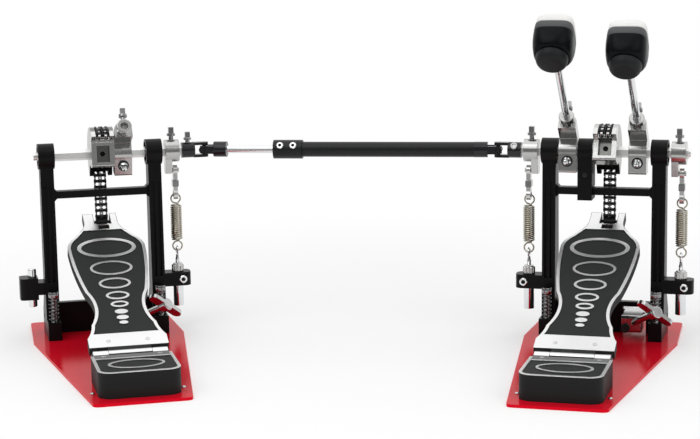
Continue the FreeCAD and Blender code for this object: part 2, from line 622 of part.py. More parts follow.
def swivel(label, place, side):
    """Flat link from the rocker's stud to the spring's upper loop."""
    start = f"{side}*(rocker_x - rocker_width/2 + arm_width + swivel_gap)"
    if side < 0:
        start += " - swivel_thickness"
    tag = Piece(label, place)
    tag.add("X", start, "swivel_thickness", circle(0, "-rocker_arm", "swivel_width/2"))
    tag.add("X", start, "swivel_thickness", circle(0, "-rocker_arm - swivel_length", "swivel_width/2"))
    tag.add("X", start, "swivel_thickness", rectangle(
        "-swivel_width/2 + 1.6", "-rocker_arm - swivel_length", "swivel_width/2 - 1.6", "-rocker_arm"))
    tag.cut("X", start, "swivel_thickness", circle(0, "-rocker_arm", "stud_diameter/2 + running_gap"))
    tag.cut("X", start, "swivel_thickness", circle(0, "-rocker_arm - swivel_length", "hook_hole/2"))


def arc_edge(start, tangent, end):
    """Arc from start with a tangent to end, or a line where the tangent points at end."""
    chord = end - start
    along = Vector(chord).normalize()
    angle = math.acos(max(-1, min(1, tangent.dot(along))))
    if angle < 1e-4:
        return Part.LineSegment(start, end).toShape()
    rise = (tangent - along * tangent.dot(along)).normalize() * (chord.Length / 2 * math.tan(angle / 2))
    return Part.Arc(start, start + chord / 2 + rise, end).toShape()


def wire_tube(stations, diameter):
    """A round wire through stations of (point, tangent), as a pipe on biarcs, and its least gap to itself."""
    edges = []
    for (p0, t0), (p1, t1) in zip(stations, stations[1:]):
        span = p1 - p0
        both = t0 + t1
        square = 2 * (1 - t0.dot(t1))
        lead = span.dot(both)
        if square < 1e-9:
            reach = span.dot(span) / (4 * span.dot(t1))
        else:
            reach = (math.sqrt(lead * lead + square * span.dot(span)) - lead) / square
        join = (p0 + t0 * reach + p1 - t1 * reach) / 2
        first = arc_edge(p0, t0, join)
        second = arc_edge(p1, t1 * -1, join)
        edges += [first, second]
    path = Part.Wire(Part.__sortEdges__(edges))
    start, tangent = stations[0]
    ring = Part.Wire(Part.Circle(start, tangent, diameter / 2).toShape())
    pipe = Part.BRepOffsetAPI.MakePipeShell(path)
    pipe.add(ring)
    pipe.build()
    pipe.makeSolid()
    samples = path.discretize(Number=60 * len(stations) // 8)
    spacing = path.Length / len(samples)
    skip = int(3 * diameter / spacing) + 1
    least = min((a - b).Length for i, a in enumerate(samples) for b in samples[i + skip:]) - diameter
    return pipe.shape(), least


def spring_stations():
    """Upper half of the tension spring as quarter-turn stations, and the lower half turned about X."""
    length = value(f"{SPRING_TOP} - spring_bottom")
    radius = value("spring_radius")
    small = value("taper_radius")
    loop = value("loop_radius")
    taper = value("spring_taper")
    room = length - 2 * taper - 4 * loop
    # An odd count turns the end loops across the swivel's plate and the tension eye
    quarters = 2 * round(room / value("coil_pitch") - 0.5) + 1
    pitch = 2 * room / quarters
    half = []
    for n in range(quarters + 5):
        angle = n * math.pi / 2
        over = max(0, n - quarters) / 4
        r = radius + (small - radius) * over
        z = pitch * min(n, quarters) / 4 + taper * over
        slope = (pitch if n <= quarters else taper) / (2 * math.pi)
        if n == quarters + 4:
            slope = 0
        turn = Vector(-r * math.sin(angle), r * math.cos(angle), slope)
        if quarters < n < quarters + 4:
            pull = (small - radius) / (2 * math.pi)
            turn += Vector(pull * math.cos(angle), pull * math.sin(angle), 0)
        half.append((Vector(r * math.cos(angle), r * math.sin(angle), z), turn.normalize()))
    end, tangent = half[-1]
    for n in range(1, 7):
        angle = n * math.radians(50)
        out = tangent * (loop * math.sin(angle))
        half.append((end + out + Vector(0, 0, loop * (1 - math.cos(angle))),
                     (tangent * math.cos(angle) + Vector(0, 0, math.sin(angle))).normalize()))
    lower = [(Vector(p.x, -p.y, -p.z), Vector(-t.x, t.y, t.z)) for p, t in half[:0:-1]]
    return lower + half


def springs(names):
    """Tension springs, each on its own axis midway between the swivel hole and the tension eye."""
    tube, least = wire_tube(spring_stations(), value("spring_wire"))
    print("tension spring: least gap to itself", round(least, 2))
    for label, place in names:
        Free(label, tube.copy(), place)


def tensioner_solids(side):
    """Eyebolt through the lug, the nut on the lug and the sleeve under it."""
    x = side * value(SPRING_X)
    rod = value("tension_rod") / 2
    eye_z = value("spring_bottom")
    bottom = value("lug_bottom - sleeve_length") + 3
    gap = value("seat_gap")
    ring = Part.makeTorus(value("eye_ring"), value("eye_wire") / 2, Vector(x, 0, eye_z), Vector(1, 0, 0))
    neck = eye_z - value("eye_ring")
    bolt = cylinder(rod, neck - bottom, (x, 0, bottom), (0, 0, 1)).fuse(ring)
    lug_top = value("lug_bottom + lug_height")
    nut = cylinder(value("tension_nut") / 2, value("tension_nut_height"), (x, 0, lug_top), (0, 0, 1))
    rim = [e for e in nut.Edges if len(e.Vertexes) == 1]
    nut = nut.makeChamfer(1, rim).cut(cylinder(rod + gap, 30, (x, 0, lug_top - 5), (0, 0, 1)))
    length = value("sleeve_length")
    sleeve = cylinder(value("sleeve_diameter") / 2, length, (x, 0, value("lug_bottom") - length), (0, 0, 1))
    sleeve = sleeve.cut(cylinder(rod + gap, length + 10, (x, 0, value("lug_bottom") - length + 2), (0, 0, 1)))
    return [bolt, nut, sleeve]


def spurs(name, place):
    """Two spiked screws in the feet, each under a compression spring."""
    top = value("base_thickness + foot_height")
    radius = value("spur_diameter") / 2
    head = value("spur_head") / 2
    height = value("spur_height")
    wire = value("spur_wire")
    coil = value("spur_coil")
    turns = value("spur_turns")
    room = height - value("spur_head_height") - wire - 0.4
    stations = []
    for n in range(int(turns * 4) + 1):
        angle = n * math.pi / 2
        tangent = Vector(-coil * math.sin(angle), coil * math.cos(angle), room / turns / (2 * math.pi))
        stations.append((Vector(coil * math.cos(angle), coil * math.sin(angle), room / turns * n / 4),
                         tangent.normalize()))
    tube, least = wire_tube(stations, wire)
    print("spur spring: least gap to itself", round(least, 2))
    solids = []
    for side in (-1, 1):
        x, y = side * value("post_spacing") / 2, -value("spur_y")
        tip = value("spur_tip")
        screw = cylinder(radius, top + height - tip - 6, (x, y, tip + 6), (0, 0, 1))
        point = Part.makeCone(0.6, radius, 6, Vector(x, y, tip), Vector(0, 0, 1))
        cap_height = value("spur_head_height")
        cap = cylinder(head, cap_height, (x, y, top + height - cap_height), (0, 0, 1))
        cap = cap.makeChamfer(1, [e for e in cap.Edges if e.BoundBox.ZMin > top + height - 0.01])
        solids += [screw.fuse([point, cap]), tube.translated(Vector(x, y, top + wire / 2 + 0.2))]
    Free(name + "_spurs", Part.makeCompound(solids), place)


def heel_plate(name, place):
    """Rounded heel block with a polished rim round a sunken field that holds one oval ring."""
    half = value("heel_width") / 2
    front = -value("heel_front")
    rear = -value("heel_rear")
    top = value("heel_top")
    corner = value("heel_corner")
    rim = value("heel_rim")
    sunk = value("field_depth")
    leaf = rear - value("leaf_length - knuckle_radius")
    gap = value("seat_gap")

    def slab(inset, low, high, back):
        block = box((-half + inset, front + inset, low), (half - inset, back, high))
        rounded = [e for e in block.Edges if upright(e) and e.Vertexes[0].Y < back - 1]
        return block.makeFillet(corner - inset, rounded)

    along = -value("heel_oval_y")
    ring = oval(value("heel_oval"), along, top - sunk, 2)
    ring = ring.cut(oval(value("heel_oval"), along, top - sunk, 2, value("ring_stroke")))
    field = slab(rim, top - sunk, top + 2, leaf - rim).cut(ring)
    seat = box((-value("hinge_width") / 2 - gap, leaf, top - value("leaf_thickness")),
               (value("hinge_width") / 2 + gap, rear + 1, top + 1))
    Free(name + "_heel_plate", slab(0, value("base_thickness"), top, rear).cut([field, seat]), place)


def heel_hinge(name, place):
    """Leaf with two outer knuckles, let into the heel plate, and the hinge pin."""
    hinge = Piece(name + "_heel_hinge", place)
    hinge.add("Z", "heel_top - leaf_thickness + seat_gap/4", "leaf_thickness", rectangle(
        "-hinge_width/2", "-heel_rear - leaf_length + knuckle_radius + seat_gap",
        "hinge_width/2", "-hinge_y - 6"))
    for side in (-1, 1):
        start = "knuckle_width/2 + loose_gap" if side > 0 else "-hinge_width/2"
        length = "hinge_width/2 - knuckle_width/2 - loose_gap"
        hinge.add("X", start, length, circle("-hinge_y", "hinge_height", "knuckle_radius"))
        hinge.add("X", start, length, polygon(
            ("-hinge_y - 7", "heel_top - leaf_thickness + seat_gap/4"), ("-hinge_y", "hinge_height"),
            ("-hinge_y", "hinge_height + knuckle_radius"), ("-hinge_y - 7", "heel_top + seat_gap/4")))
    hinge.cut("X", "-hinge_width", "2*hinge_width",
              circle("-hinge_y", "hinge_height", "hinge_pin/2 + running_gap"))
    hinge.add("X", "-hinge_width/2 - 1.5", "hinge_width + 3",
              circle("-hinge_y", "hinge_height", "hinge_pin/2"))


def board_slope():
    """Angle of the footboard that puts its toe pin at the chain's lower end."""
    strand, _ = chain_points()
    y, z = strand[0]
    run = y + value("hinge_y")
    rise = z + HEIGHT - value("hinge_height")
    return math.degrees(math.atan2(rise, run) - math.atan2(toe_drop(), toe_at()))


def toe_drop():
    return value("board_top - board_depth/2")


def toe_at():
    """Distance of the toe pin along the board, so that it meets the strand's last joint."""
    strand, _ = chain_points()
    y, z = strand[0]
    reach = math.hypot(y + value("hinge_y"), z + HEIGHT - value("hinge_height"))
    return math.sqrt(reach * reach - toe_drop() ** 2)


def toe_end():
    return toe_at() + value("toe_lip")


def slot_start():
    return toe_at() - value("slot_depth")


def board_outline(inset, start, end, z):
    """Hourglass outline of the footboard, drawn in by an inset, as lines and arcs."""
    def point(half, along):
        return value(half) - inset, value(along) if isinstance(along, str) else along
    heel = (value("heel_half") - inset, start)
    band = point("heel_half", "band_end - 4")
    hip = (value("heel_half + waist_half") / 2 - inset, value("band_end + waist_at") / 2 - 5)
    waist = point("waist_half", "waist_at")
    flank = point("flank_half", "flank_at")
    swell = (value("belly_half") - 2.6 - inset, value("flank_at + belly_at") / 2)
    belly = point("belly_half", "belly_at")
    corner = (value("belly_half") - 2.4 - inset, value("belly_at") + 10)
    turn = (value("belly_half") - 8.5 - inset, value("belly_at") + 19.5)
    shoulder = point("shoulder_half", "shoulder_at")
    throat = (value("neck_half") + 2.3 - inset, value("shoulder_at + neck_at") / 2 - 1.5)
    neck = point("neck_half", "neck_at")
    toe = (value("neck_half") - inset, end)
    knee = (hip[0] + 2.2, (band[1] + hip[1]) / 2 - 1)
    runs = [(heel, band), (band, knee, hip), (hip, waist, flank), (flank, swell, belly),
            (belly, corner, turn), (turn, shoulder), (shoulder, throat, neck), (neck, toe)]
    edges = []
    for side in (1, -1):
        for run in runs:
            ends = [Vector(side * x, y, z) for x, y in run]
            edges.append(Part.Arc(*ends).toShape() if len(ends) == 3 else Part.makeLine(*ends))
    edges.append(Part.makeLine(Vector(heel[0], start, z), Vector(-heel[0], start, z)))
    edges.append(Part.makeLine(Vector(toe[0], end, z), Vector(-toe[0], end, z)))
    return Part.Face(Part.Wire(Part.__sortEdges__(edges)))


def board_part(inset, start, end, low, high):
    """The outline drawn in by an inset, as a slab between two heights, cut square at both ends."""
    slab = board_outline(inset, value("board_start"), toe_end(), low).extrude(Vector(0, 0, high - low))
    wide = value("heel_half + belly_half")
    return slab.common(box((-wide, start, low - 1), (wide, end, high + 1)))


def oval(half, along, z, height, shrink=0):
    a = half - shrink
    b = half * value("oval_ratio") - shrink
    curve = Part.Ellipse(Vector(0, along, z), a, b)
    return Part.Face(Part.Wire(curve.toShape())).extrude(Vector(0, 0, height))


def footboard(name, place):
    """Cast footboard: open underneath, polished rim round a sunken field, oval ring treads, forked toe."""
    top = value("board_top")
    depth = value("board_depth")
    start = value("board_start")
    end = toe_end()
    wall = value("board_wall")
    rim = value("board_rim")
    sunk = value("field_depth")
    board = board_outline(0, start, end, top - depth).extrude(Vector(0, 0, depth))
    under = board_part(wall, start + wall, slot_start() - wall, top - depth - 1, top - value("board_skin"))
    field = board_part(rim, value("band_end") + rim, slot_start() - value("toe_bridge"), top - sunk, top + 1)
    for number in range(1, 9):
        half = value(f"oval{number}_half")
        along = value(f"oval{number}_at")
        stroke = value("first_ring_stroke" if number == 1 else "ring_stroke")
        ring = oval(half, along, top - sunk, sunk + 1)
        if number <= value("hollow_ovals"):
            ring = ring.cut(oval(half, along, top - sunk, sunk + 1, stroke))
        field = field.cut(ring)
    slot = value("slot_half")
    middle = value("wheel_x")
    notch = box((middle - slot, slot_start(), top - depth - 1), (middle + slot, end + 1, top + 1))
    gap = value("toe_window_width") / 2
    along = slot_start() - value("toe_bridge") / 2
    length = value("toe_window_length") / 2
    window = box((middle - gap, along - length, top - 2 * depth), (middle + gap, along + length, top + depth))
    width = value("knuckle_width") / 2
    radius = value("knuckle_radius")
    knuckle = cylinder(radius, 2 * width, (-width, 0, 0), (1, 0, 0))
    tongue = box((-width, 0, top - value("board_skin") - 1), (width, start + 8, top - 0.4))
    pin = cylinder(value("hinge_pin") / 2 + value("running_gap"), 4 * width, (-2 * width, 0, 0), (1, 0, 0))
    neck = value("neck_half")
    toe = cylinder(value("toe_pin_diameter") / 2, 2 * neck, (-neck, toe_at(), toe_drop()), (1, 0, 0))
    cast = board.cut([under, field, notch, window]).fuse([knuckle, tongue]).cut(pin).fuse(toe)
    Free(name + "_footboard", cast.removeSplitter(), place)


def wing_direction():
    yaw = math.radians(value("wing_yaw"))
    pitch = math.radians(value("wing_pitch"))
    return Vector(math.sin(yaw) * math.cos(pitch), -math.cos(yaw) * math.cos(pitch), math.sin(pitch))


def hoop_clamp(name, place):
    """Jaw that turns on a pin behind the bridge, with a tail in front that carries the wing screw."""
    floor = value("base_thickness")
    pivot_y, pivot_z = value("jaw_pivot_y"), value("jaw_pivot_height")
    half = value("jaw_width") / 2
    reach = value("jaw_reach")
    gap = floor + value("jaw_gap")
    thick = value("jaw_thickness")
    tail, tail_half = value("tail_x"), value("tail_width") / 2
    arm = Part.Face(Part.makePolygon([Vector(-half, y, z) for y, z in (
        (pivot_y - 5, pivot_z - 5), (pivot_y + 8, gap + 4), (reach - value("jaw_lip"), gap + 4),
        (reach - value("jaw_lip"), gap), (reach, gap), (reach, gap + thick), (pivot_y + 6, pivot_z + 9),
        (pivot_y - 5, pivot_z + 6), (pivot_y - 5, pivot_z - 5))])).extrude(Vector(2 * half, 0, 0))
    neck = box((tail - tail_half, -value("tail_front"), floor + 6), (tail + tail_half, pivot_y, floor + 24))
    post = value("post_spacing") / 2 - 1
    pin = cylinder(value("jaw_pin") / 2, 2 * post, (-post, pivot_y, pivot_z), (1, 0, 0))
    axis = wing_direction()
    mouth = Vector(tail, -value("tail_front") + 6, floor + 15)
    screw = value("wing_screw") / 2
    bore = Part.makeCylinder(screw + value("running_gap"), 60, mouth - axis * 9, axis)
    front = [e for e in neck.Edges if e.BoundBox.XLength > 1 and e.BoundBox.YMax < 0]
    jaw = arm.fuse([neck.makeFillet(3, front), pin])
    Free(name + "_clamp_jaw", jaw.cut(bore).removeSplitter(), place)

    shank = value("wing_shank")
    bolt = Part.makeCylinder(screw, shank, Vector(0, 0, -8.5), Vector(0, 0, 1))
    knob = cylinder(value("wing_knob") / 2, value("wing_height"), (0, 0, shank - 10), (0, 0, 1))
    knob = knob.makeFillet(2, [e for e in knob.Edges if len(e.Vertexes) == 1])
    wing = wing_blade(value("wing_span"), value("wing_height"), value("wing_thickness"), shank - 10)
    turn = Placement(mouth, Rotation(Vector(0, 0, 1), axis))
    Free(name + "_clamp_wing", bolt.fuse([knob, wing]).removeSplitter(), place * turn)


def wing_blade(span, height, thickness, base):
    """A flat grip with two rounded lobes, standing on a screw's axis."""
    lobe = height / 2
    straight = span / 2 - lobe

    def at(x, z):
        return Vector(x, -thickness / 2, base + z)

    edges = [Part.makeLine(at(-straight, 0), at(straight, 0)),
             Part.Arc(at(straight, 0), at(span / 2, lobe), at(straight, height)).toShape(),
             Part.makeLine(at(straight, height), at(-straight, height)),
             Part.Arc(at(-straight, height), at(-span / 2, lobe), at(-straight, 0)).toShape()]
    return Part.Face(Part.Wire(edges)).extrude(Vector(0, thickness, 0))


def anchor(place):
    """Clamp block on the secondary's outer post with a sliding rod and its wing screw."""
    block = Piece("secondary_anchor_clamp", place)
    face = "-post_spacing/2 - post_width/2"
    block.add("Z", "anchor_bottom", "anchor_height", rectangle(
        f"{face} - anchor_reach", "-anchor_depth/2", face, "anchor_depth/2"))
    left = value(f"{face} - anchor_reach")
    block.fillet(5, lambda e: upright(e) and abs(e.Vertexes[0].X - left) < 0.01)
    for low in ("anchor_bottom", "anchor_bottom + anchor_height - anchor_neck_drop"):
        block.cut("Y", "-anchor_depth/2", "anchor_depth", rectangle(
            f"{face} - anchor_neck", low, face, f"{low} + anchor_neck_drop"))
    block.bore("Z", "-anchor_rod_x", 0, "anchor_rod/2 + running_gap")
    block.cut("Y", "anchor_rod/2 + 1", 40, circle("-anchor_rod_x", "anchor_bottom + anchor_height/2",
                                                  "wing_screw/2 + running_gap"))
    rod = Piece("secondary_anchor_rod", place)
    rod.add("Z", "anchor_rod_bottom", "anchor_rod_length", circle("-anchor_rod_x", 0, "anchor_rod/2"))
    doc.recompute()
    rod.fillet(1.2, lambda e: len(e.Vertexes) == 1)
    shank = value("anchor_shank")
    start = value("anchor_rod/2 + 1.3")
    bolt = Part.makeCylinder(value("wing_screw") / 2, shank, Vector(0, 0, start), Vector(0, 0, 1))
    grip = start + shank - 8
    knob = Part.makeCylinder(value("wing_knob") / 2 - 1, 9, Vector(0, 0, grip), Vector(0, 0, 1))
    wing = wing_blade(value("anchor_wing"), 9, value("wing_thickness"), grip)
    turn = moved(-value("anchor_rod_x"), 0, value("anchor_bottom + anchor_height/2"), (1, 0, 0), -90)
    Free("secondary_anchor_wing", bolt.fuse([knob, wing]).removeSplitter(), place * turn)


def yoke(label, place, bore, open_pivot):
    """Fork of a universal joint: barrel along -X, ears above and below the pivot at the origin."""
    fork = Piece(label, place)
    fork.add("X", "-fork_depth - yoke_barrel", "yoke_barrel", circle(0, 0, "yoke_diameter/2"))
    gap = "open_pivot_gap" if open_pivot else "running_gap"
    for side in (-1, 1):
        start = "fork_gap/2" if side > 0 else "-fork_gap/2 - ear_thickness"
        fork.add("Z", start, "ear_thickness", rectangle("-fork_depth - 1", "-ear_width/2", 0, "ear_width/2"))
        fork.add("Z", start, "ear_thickness", circle(0, 0, "ear_width/2"))
        fork.cut("Z", start, "ear_thickness", circle(0, 0, f"cross_pin/2 + {gap}"))
    fork.cut("X", "-fork_depth - yoke_barrel", "yoke_barrel - 1.5", circle(0, 0, f"{bore}/2 + seat_gap"))


def cross(label, place):
    """Spider of a universal joint with pins along Y and Z."""
    spider = Piece(label, place)
    half = "cross_block/2"
    spider.add("X", f"-{half}", "cross_block", rectangle(f"-{half}", f"-{half}", half, half))
    reach = "fork_gap/2 + ear_thickness"
    spider.add("Y", f"-({reach})", f"2*({reach})", circle(0, 0, "cross_pin/2"))
    spider.add("Z", f"-({reach})", f"2*({reach})", circle(0, 0, "cross_pin/2"))


def link_shaft():
    """Telescopic link: rod with its yoke at the secondary end, tube with clamp collar at the primary end."""
    length = "link_length"
    barrel_end = "(fork_depth + yoke_barrel)"
    rod = Piece("link_rod", LINK)
    rod.add("X", "fork_depth + 2", "link_rod_length", circle(0, 0, "link_rod/2"))
    tube = Piece("link_tube", LINK)
    tube.add("X", "collar_start", "collar_length", circle(0, 0, "collar_diameter/2"))
    tube.add("X", "collar_start + collar_length", f"{length} - {barrel_end} - collar_start - collar_length",
             circle(0, 0, "tube_diameter/2"))
    tube.add("X", f"{length} - {barrel_end}", "yoke_barrel - 2", circle(0, 0, "stub_diameter/2"))
    tube.cut("X", "collar_start", f"{length} - {barrel_end} - collar_start - 12",
             circle(0, 0, "link_rod/2 + running_gap"))
    flip = moved(axis=(0, 0, 1), angle=180)
    quarter = moved(axis=(1, 0, 0), angle=90)
    near = moved(x=value(length))
    yoke("link_rod_yoke", LINK * flip * quarter, "link_rod", True)
    yoke("link_tube_yoke", LINK * near * quarter, "stub_diameter", True)
    cross("secondary_cross", LINK)
    cross("primary_cross", LINK * near)


def key_screw(point, axis, depth):
    """Drum-key screw whose head seats at a point, shank against the axis."""
    axis = Vector(*axis)
    point = Vector(*point)
    shank = Part.makeCylinder(value("key_screw") / 2, depth, point - axis * depth, axis)
    head = Part.makeCylinder(value("key_head") / 2, value("key_head_height"), point, axis)
    half = value("key_square") / 2
    square = box((-half, -half, value("key_head_height")),
                 (half, half, value("key_head_height + key_square_height")))
    square.Placement = Placement(point, Rotation(Vector(0, 0, 1), axis))
    return shank.fuse([head, square])


def shaft_screws(label, place, hub_x, lean, rocker_side):
    """Screws of one shaft: the hub's clamp and rod screws, and the rocker's set screw."""
    corner = value("hex_width/sqrt(3) + loose_gap")
    stand = value("screw_stand")
    clamp = key_screw((0, -value("lug_face"), -value("lug_screw_drop")), (0, -1, 0), value("lug_screw_depth"))
    clamp.Placement = moved(hub_x, axis=(1, 0, 0), angle=lean - value("lug_turn"))
    grip = key_screw((0, value("rod_offset + boss_width/2") + stand, value("boss_top - rod_screw_drop")),
                     (0, 1, 0), stand + value("boss_width/2 - rod_diameter/2 - loose_gap"))
    grip.Placement = moved(hub_x, axis=(1, 0, 0), angle=lean)
    top = value("rocker_ring") / 2 + stand
    cam = key_screw((rocker_side * value("rocker_x"), 0, top), (0, 0, 1), top - corner)
    Free(label, Part.makeCompound([clamp, grip, cam]), place)


def pedal(name, place, lugs, bearing_centers):
    """What both pedals share: base, frame, heel, footboard, chain drive, clamp and spurs."""
    line = place * SHAFT
    base_plate(name, place)
    frame(name, place, lugs)
    bearings(name, place, bearing_centers)
    heel_plate(name, place)
    heel_hinge(name, place)
    footboard(name, place * moved(0, -value("hinge_y"), value("hinge_height"), (1, 0, 0), board_slope()))
    sprocket(name, line)
    chains(name, line)
    hoop_clamp(name, place)
    spurs(name, place)
    Free(name + "_tensioners", Part.makeCompound([s for side in lugs for s in tensioner_solids(side)]), place)


def shaft_group(name, line, hub_x, lean, side, with_beater):
    """Hub, rocker, swivel, screws and beater on one shaft."""
    hub_place = line * moved(hub_x, axis=(1, 0, 0), angle=value(lean))
    beater_hub(name + "_beater_hub", hub_place, lean)
    rocker(name + "_rocker", line, side)
    swivel(name + "_swivel", line, side)
    shaft_screws(name + "_shaft_screws", line, hub_x, value(lean), side)
    if with_beater:
        beater(name, hub_place)


pedal("primary", PRIMARY, (-1, 1), (
    POST, f"-({POST})", "-support_x - support_width/2 + bearing_width/2 + 0.5",
    "-support_x + support_width/2 - bearing_width/2 - 0.5"))
pedal("secondary", SECONDARY, (1,), (POST, f"-({POST})"))
center_support(PRIMARY)
anchor(SECONDARY)

primary_line = PRIMARY * SHAFT
secondary_line = SECONDARY * SHAFT
support_right = "-support_x + support_width/2 + 0.4"
support_left = "-support_x - support_width/2 - 0.4"
shaft("primary_shaft", primary_line, (
    (ROUND, "-support_x + half_shaft_gap/2", support_right), ("hex", support_right, f"{POST} - {EYE}"),
    (ROUND, f"{POST} - {EYE}", f"{POST} + {EYE}"),
    ("hex", f"{POST} + {EYE}", "rocker_x + rocker_width/2 + 2"),
    (STUB, "rocker_x + rocker_width/2 + 2", "rocker_x + rocker_width/2 + 4")))
shaft("slave_shaft", primary_line, (
    (STUB, "-joint_reach + fork_depth + 2", "-joint_reach + fork_depth + yoke_barrel"),
    ("hex", "-joint_reach + fork_depth + yoke_barrel", f"-{POST} - {EYE}"),
    (ROUND, f"-{POST} - {EYE}", f"-{POST} + {EYE}"), ("hex", f"-{POST} + {EYE}", support_left),
    (ROUND, support_left, "-support_x - half_shaft_gap/2")))
shaft("secondary_shaft", secondary_line, (
    (STUB, f"-{POST} - {EYE} - end_cap/2", f"-{POST} - {EYE}"),
    (ROUND, f"-{POST} - {EYE}", f"-{POST} + {EYE}"),
    ("hex", f"-{POST} + {EYE}", f"{POST} - {EYE}"), (ROUND, f"{POST} - {EYE}", f"{POST} + {EYE}"),
    ("hex", f"{POST} + {EYE}", "joint_reach - fork_depth - yoke_barrel"),
    (STUB, "joint_reach - fork_depth - yoke_barrel", "joint_reach - fork_depth - 2")))

shaft_group("primary", primary_line, value("primary_hub_x"), "primary_lean", 1, True)
shaft_group("slave", primary_line, -value("slave_hub_x"), "slave_lean", -1, True)
shaft_group("secondary", secondary_line, value("secondary_hub_x"), "secondary_lean", 1, False)

link_shaft()
yoke("slave_yoke", primary_line * moved(-REACH, axis=(0, 0, 1), angle=180), "stub_diameter", False)
yoke("secondary_yoke", secondary_line * moved(REACH), "stub_diameter", False)

spring_middle = value(f"{SPRING_TOP} + spring_bottom") / 2
springs([("primary_spring", PRIMARY * moved(value(SPRING_X), 0, spring_middle)),
         ("slave_spring", PRIMARY * moved(-value(SPRING_X), 0, spring_middle)),
         ("secondary_spring", SECONDARY * moved(value(SPRING_X), 0, spring_middle))])

doc.recompute()
for node in NODES:
    node.seat()
doc.recompute()
failed = [o.Label for o in doc.Objects if "Invalid" in o.State or "Error" in o.State]
broken = [n.body.Label for n in NODES if n.body.Shape.isNull() or not n.body.Shape.isValid()]
if failed or broken:
    raise RuntimeError(f"failed objects {failed}, broken shapes {broken}")
os.makedirs("parts", exist_ok=True)
for node in NODES:
    node.body.Shape.exportStep(f"parts/{node.body.Label}.step")
print(len(NODES), "nodes written; toe pin at", round(toe_at(), 2), "slope", round(board_slope(), 2))
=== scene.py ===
"""Looks of the double bass drum pedal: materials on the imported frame, and the fine pieces that ride on it."""
import math

import bmesh
import bpy
from mathutils import Matrix, Vector


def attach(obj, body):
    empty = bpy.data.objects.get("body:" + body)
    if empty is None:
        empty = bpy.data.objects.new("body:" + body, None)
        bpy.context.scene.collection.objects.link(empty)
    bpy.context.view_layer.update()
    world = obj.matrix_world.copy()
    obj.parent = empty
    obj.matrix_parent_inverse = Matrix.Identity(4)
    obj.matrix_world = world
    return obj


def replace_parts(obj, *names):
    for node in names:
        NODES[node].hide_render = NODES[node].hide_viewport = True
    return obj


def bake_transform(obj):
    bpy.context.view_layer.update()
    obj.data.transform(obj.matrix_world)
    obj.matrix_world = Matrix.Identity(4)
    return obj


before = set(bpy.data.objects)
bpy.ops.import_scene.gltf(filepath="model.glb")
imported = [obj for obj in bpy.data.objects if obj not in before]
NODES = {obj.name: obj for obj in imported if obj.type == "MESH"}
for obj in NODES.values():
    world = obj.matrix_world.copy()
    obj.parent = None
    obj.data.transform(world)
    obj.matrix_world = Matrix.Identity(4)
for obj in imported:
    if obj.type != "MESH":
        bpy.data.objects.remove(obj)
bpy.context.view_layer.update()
MM = 0.001

# Sizes shared with the part's source, in millimetres
SHAFT_Z = 195.0
REACH = 112.0
LINK_LENGTH = 315.0
LINK_YAW = math.radians(8.0)
SECONDARY_YAW = math.radians(29.6)
POST_X = 56.7
SPUR_Y = -23.0
SPRING_X = 79.4
SPRING_TOP, SPRING_BOTTOM = 148.0, 87.0
TENSION_LUG_BOTTOM, TENSION_LUG_TOP = 49.5, 64.0
HINGE_Y, HINGE_Z = -209.5, 26.0
BOARD_SLOPE = math.radians(21.54)
BOARD_TOP = 4.4
SHOULDER_AT = 224.0
HEEL_TOP = 28.0
FIELD_DEPTH = 0.8
BASE_TOP = 3.0
WHEEL_X = 2.0
BLOCK_FRONT = 16.5
BLOCK_TILTS = {"primary": 24.0, "secondary": 6.0}
LUG_TURN, LUG_FACE, LUG_SCREW = 47.0, 12.4, 9.5
KEY_HEAD, KEY_END = 2.6, 9.2
HEAD_Y, HEAD_Z = 14.5, 150.0

# Sizes and places of the scene's own fine pieces, in millimetres
SWIVEL_BLOCK_Z = 156.2
TENSION_SCREW_OUT, TENSION_SCREW_Y, TENSION_SCREW_Z = 4.0, -10.0, 56.7
COLLAR_SCREWS_X = (84, 98)
COLLAR_SEAT_Y, COLLAR_SEAT_Z = -8.6, 4.6
YOKE_SCREW_X = 94.0
YOKE_SEAT_Y, YOKE_SEAT_Z, YOKE_TOP = -6.6, 4.4, 8.0
BAND_RIVET_X, BAND_RIVET_Y = 19.0, 18.0
LEAF_RIVET_X, LEAF_RIVET_Y = 27.0, -221.0
BASE_BOLT_X, BASE_BOLT_Y = 43.0, -262.0
GRUB_SCREW_Y = -9.0
CLAMP_PAD_AT = (25.0, -20.0, 14.0)
SUPPORT_SCREW_AT = (-19.2, -12.0, 172.0)
SEAT_GAP = 0.02

# Where the two-tone looks and the painted shade change, in millimetres
# Depths behind the wheel block's face where its painted shade gives way to polish, and where the polish is full
POLISH_STARTS, POLISH_FULL = 2.0, 0.6
BOARD_EDGE, HEEL_EDGE, KNUCKLE_RISE = 0.3, 0.5, 0.6
SHADOW_LINE_AT, SHADOW_LINE_HALF = 6.4, 0.9
# Radius of the neck's rounded edges, which are painted dark as shade
NECK_SHADE_RADIUS = 1.2
FIELD_LAYER = 0.05

UP, FRONT = (0, 0, 1), (0, -1, 0)
COLLAR_FACING, YOKE_FACING = (0, -0.88, 0.47), (0, -0.83, 0.55)

far_joint = Vector((-REACH - LINK_LENGTH * math.cos(LINK_YAW), -LINK_LENGTH * math.sin(LINK_YAW), 0))
toward_link = Vector((math.cos(SECONDARY_YAW), math.sin(SECONDARY_YAW), 0))
PRIMARY = Matrix.Identity(4)
SECONDARY = Matrix.Translation(far_joint - REACH * toward_link) @ Matrix.Rotation(SECONDARY_YAW, 4, "Z")
LINK = Matrix.Translation(far_joint + Vector((0, 0, SHAFT_Z))) @ Matrix.Rotation(LINK_YAW, 4, "Z")
SHAFT = Matrix.Translation((0, 0, SHAFT_Z))
PEDALS = (("primary", PRIMARY), ("secondary", SECONDARY))
# Each hub's pedal, its place along the shaft and its lean in degrees
BEATER_HUBS = (("primary", PRIMARY, 34.8, 48.0), ("slave", PRIMARY, -37.4, 45.0))
EMPTY_HUBS = (("secondary", SECONDARY, 23.7, 62.0),)


# Node helpers

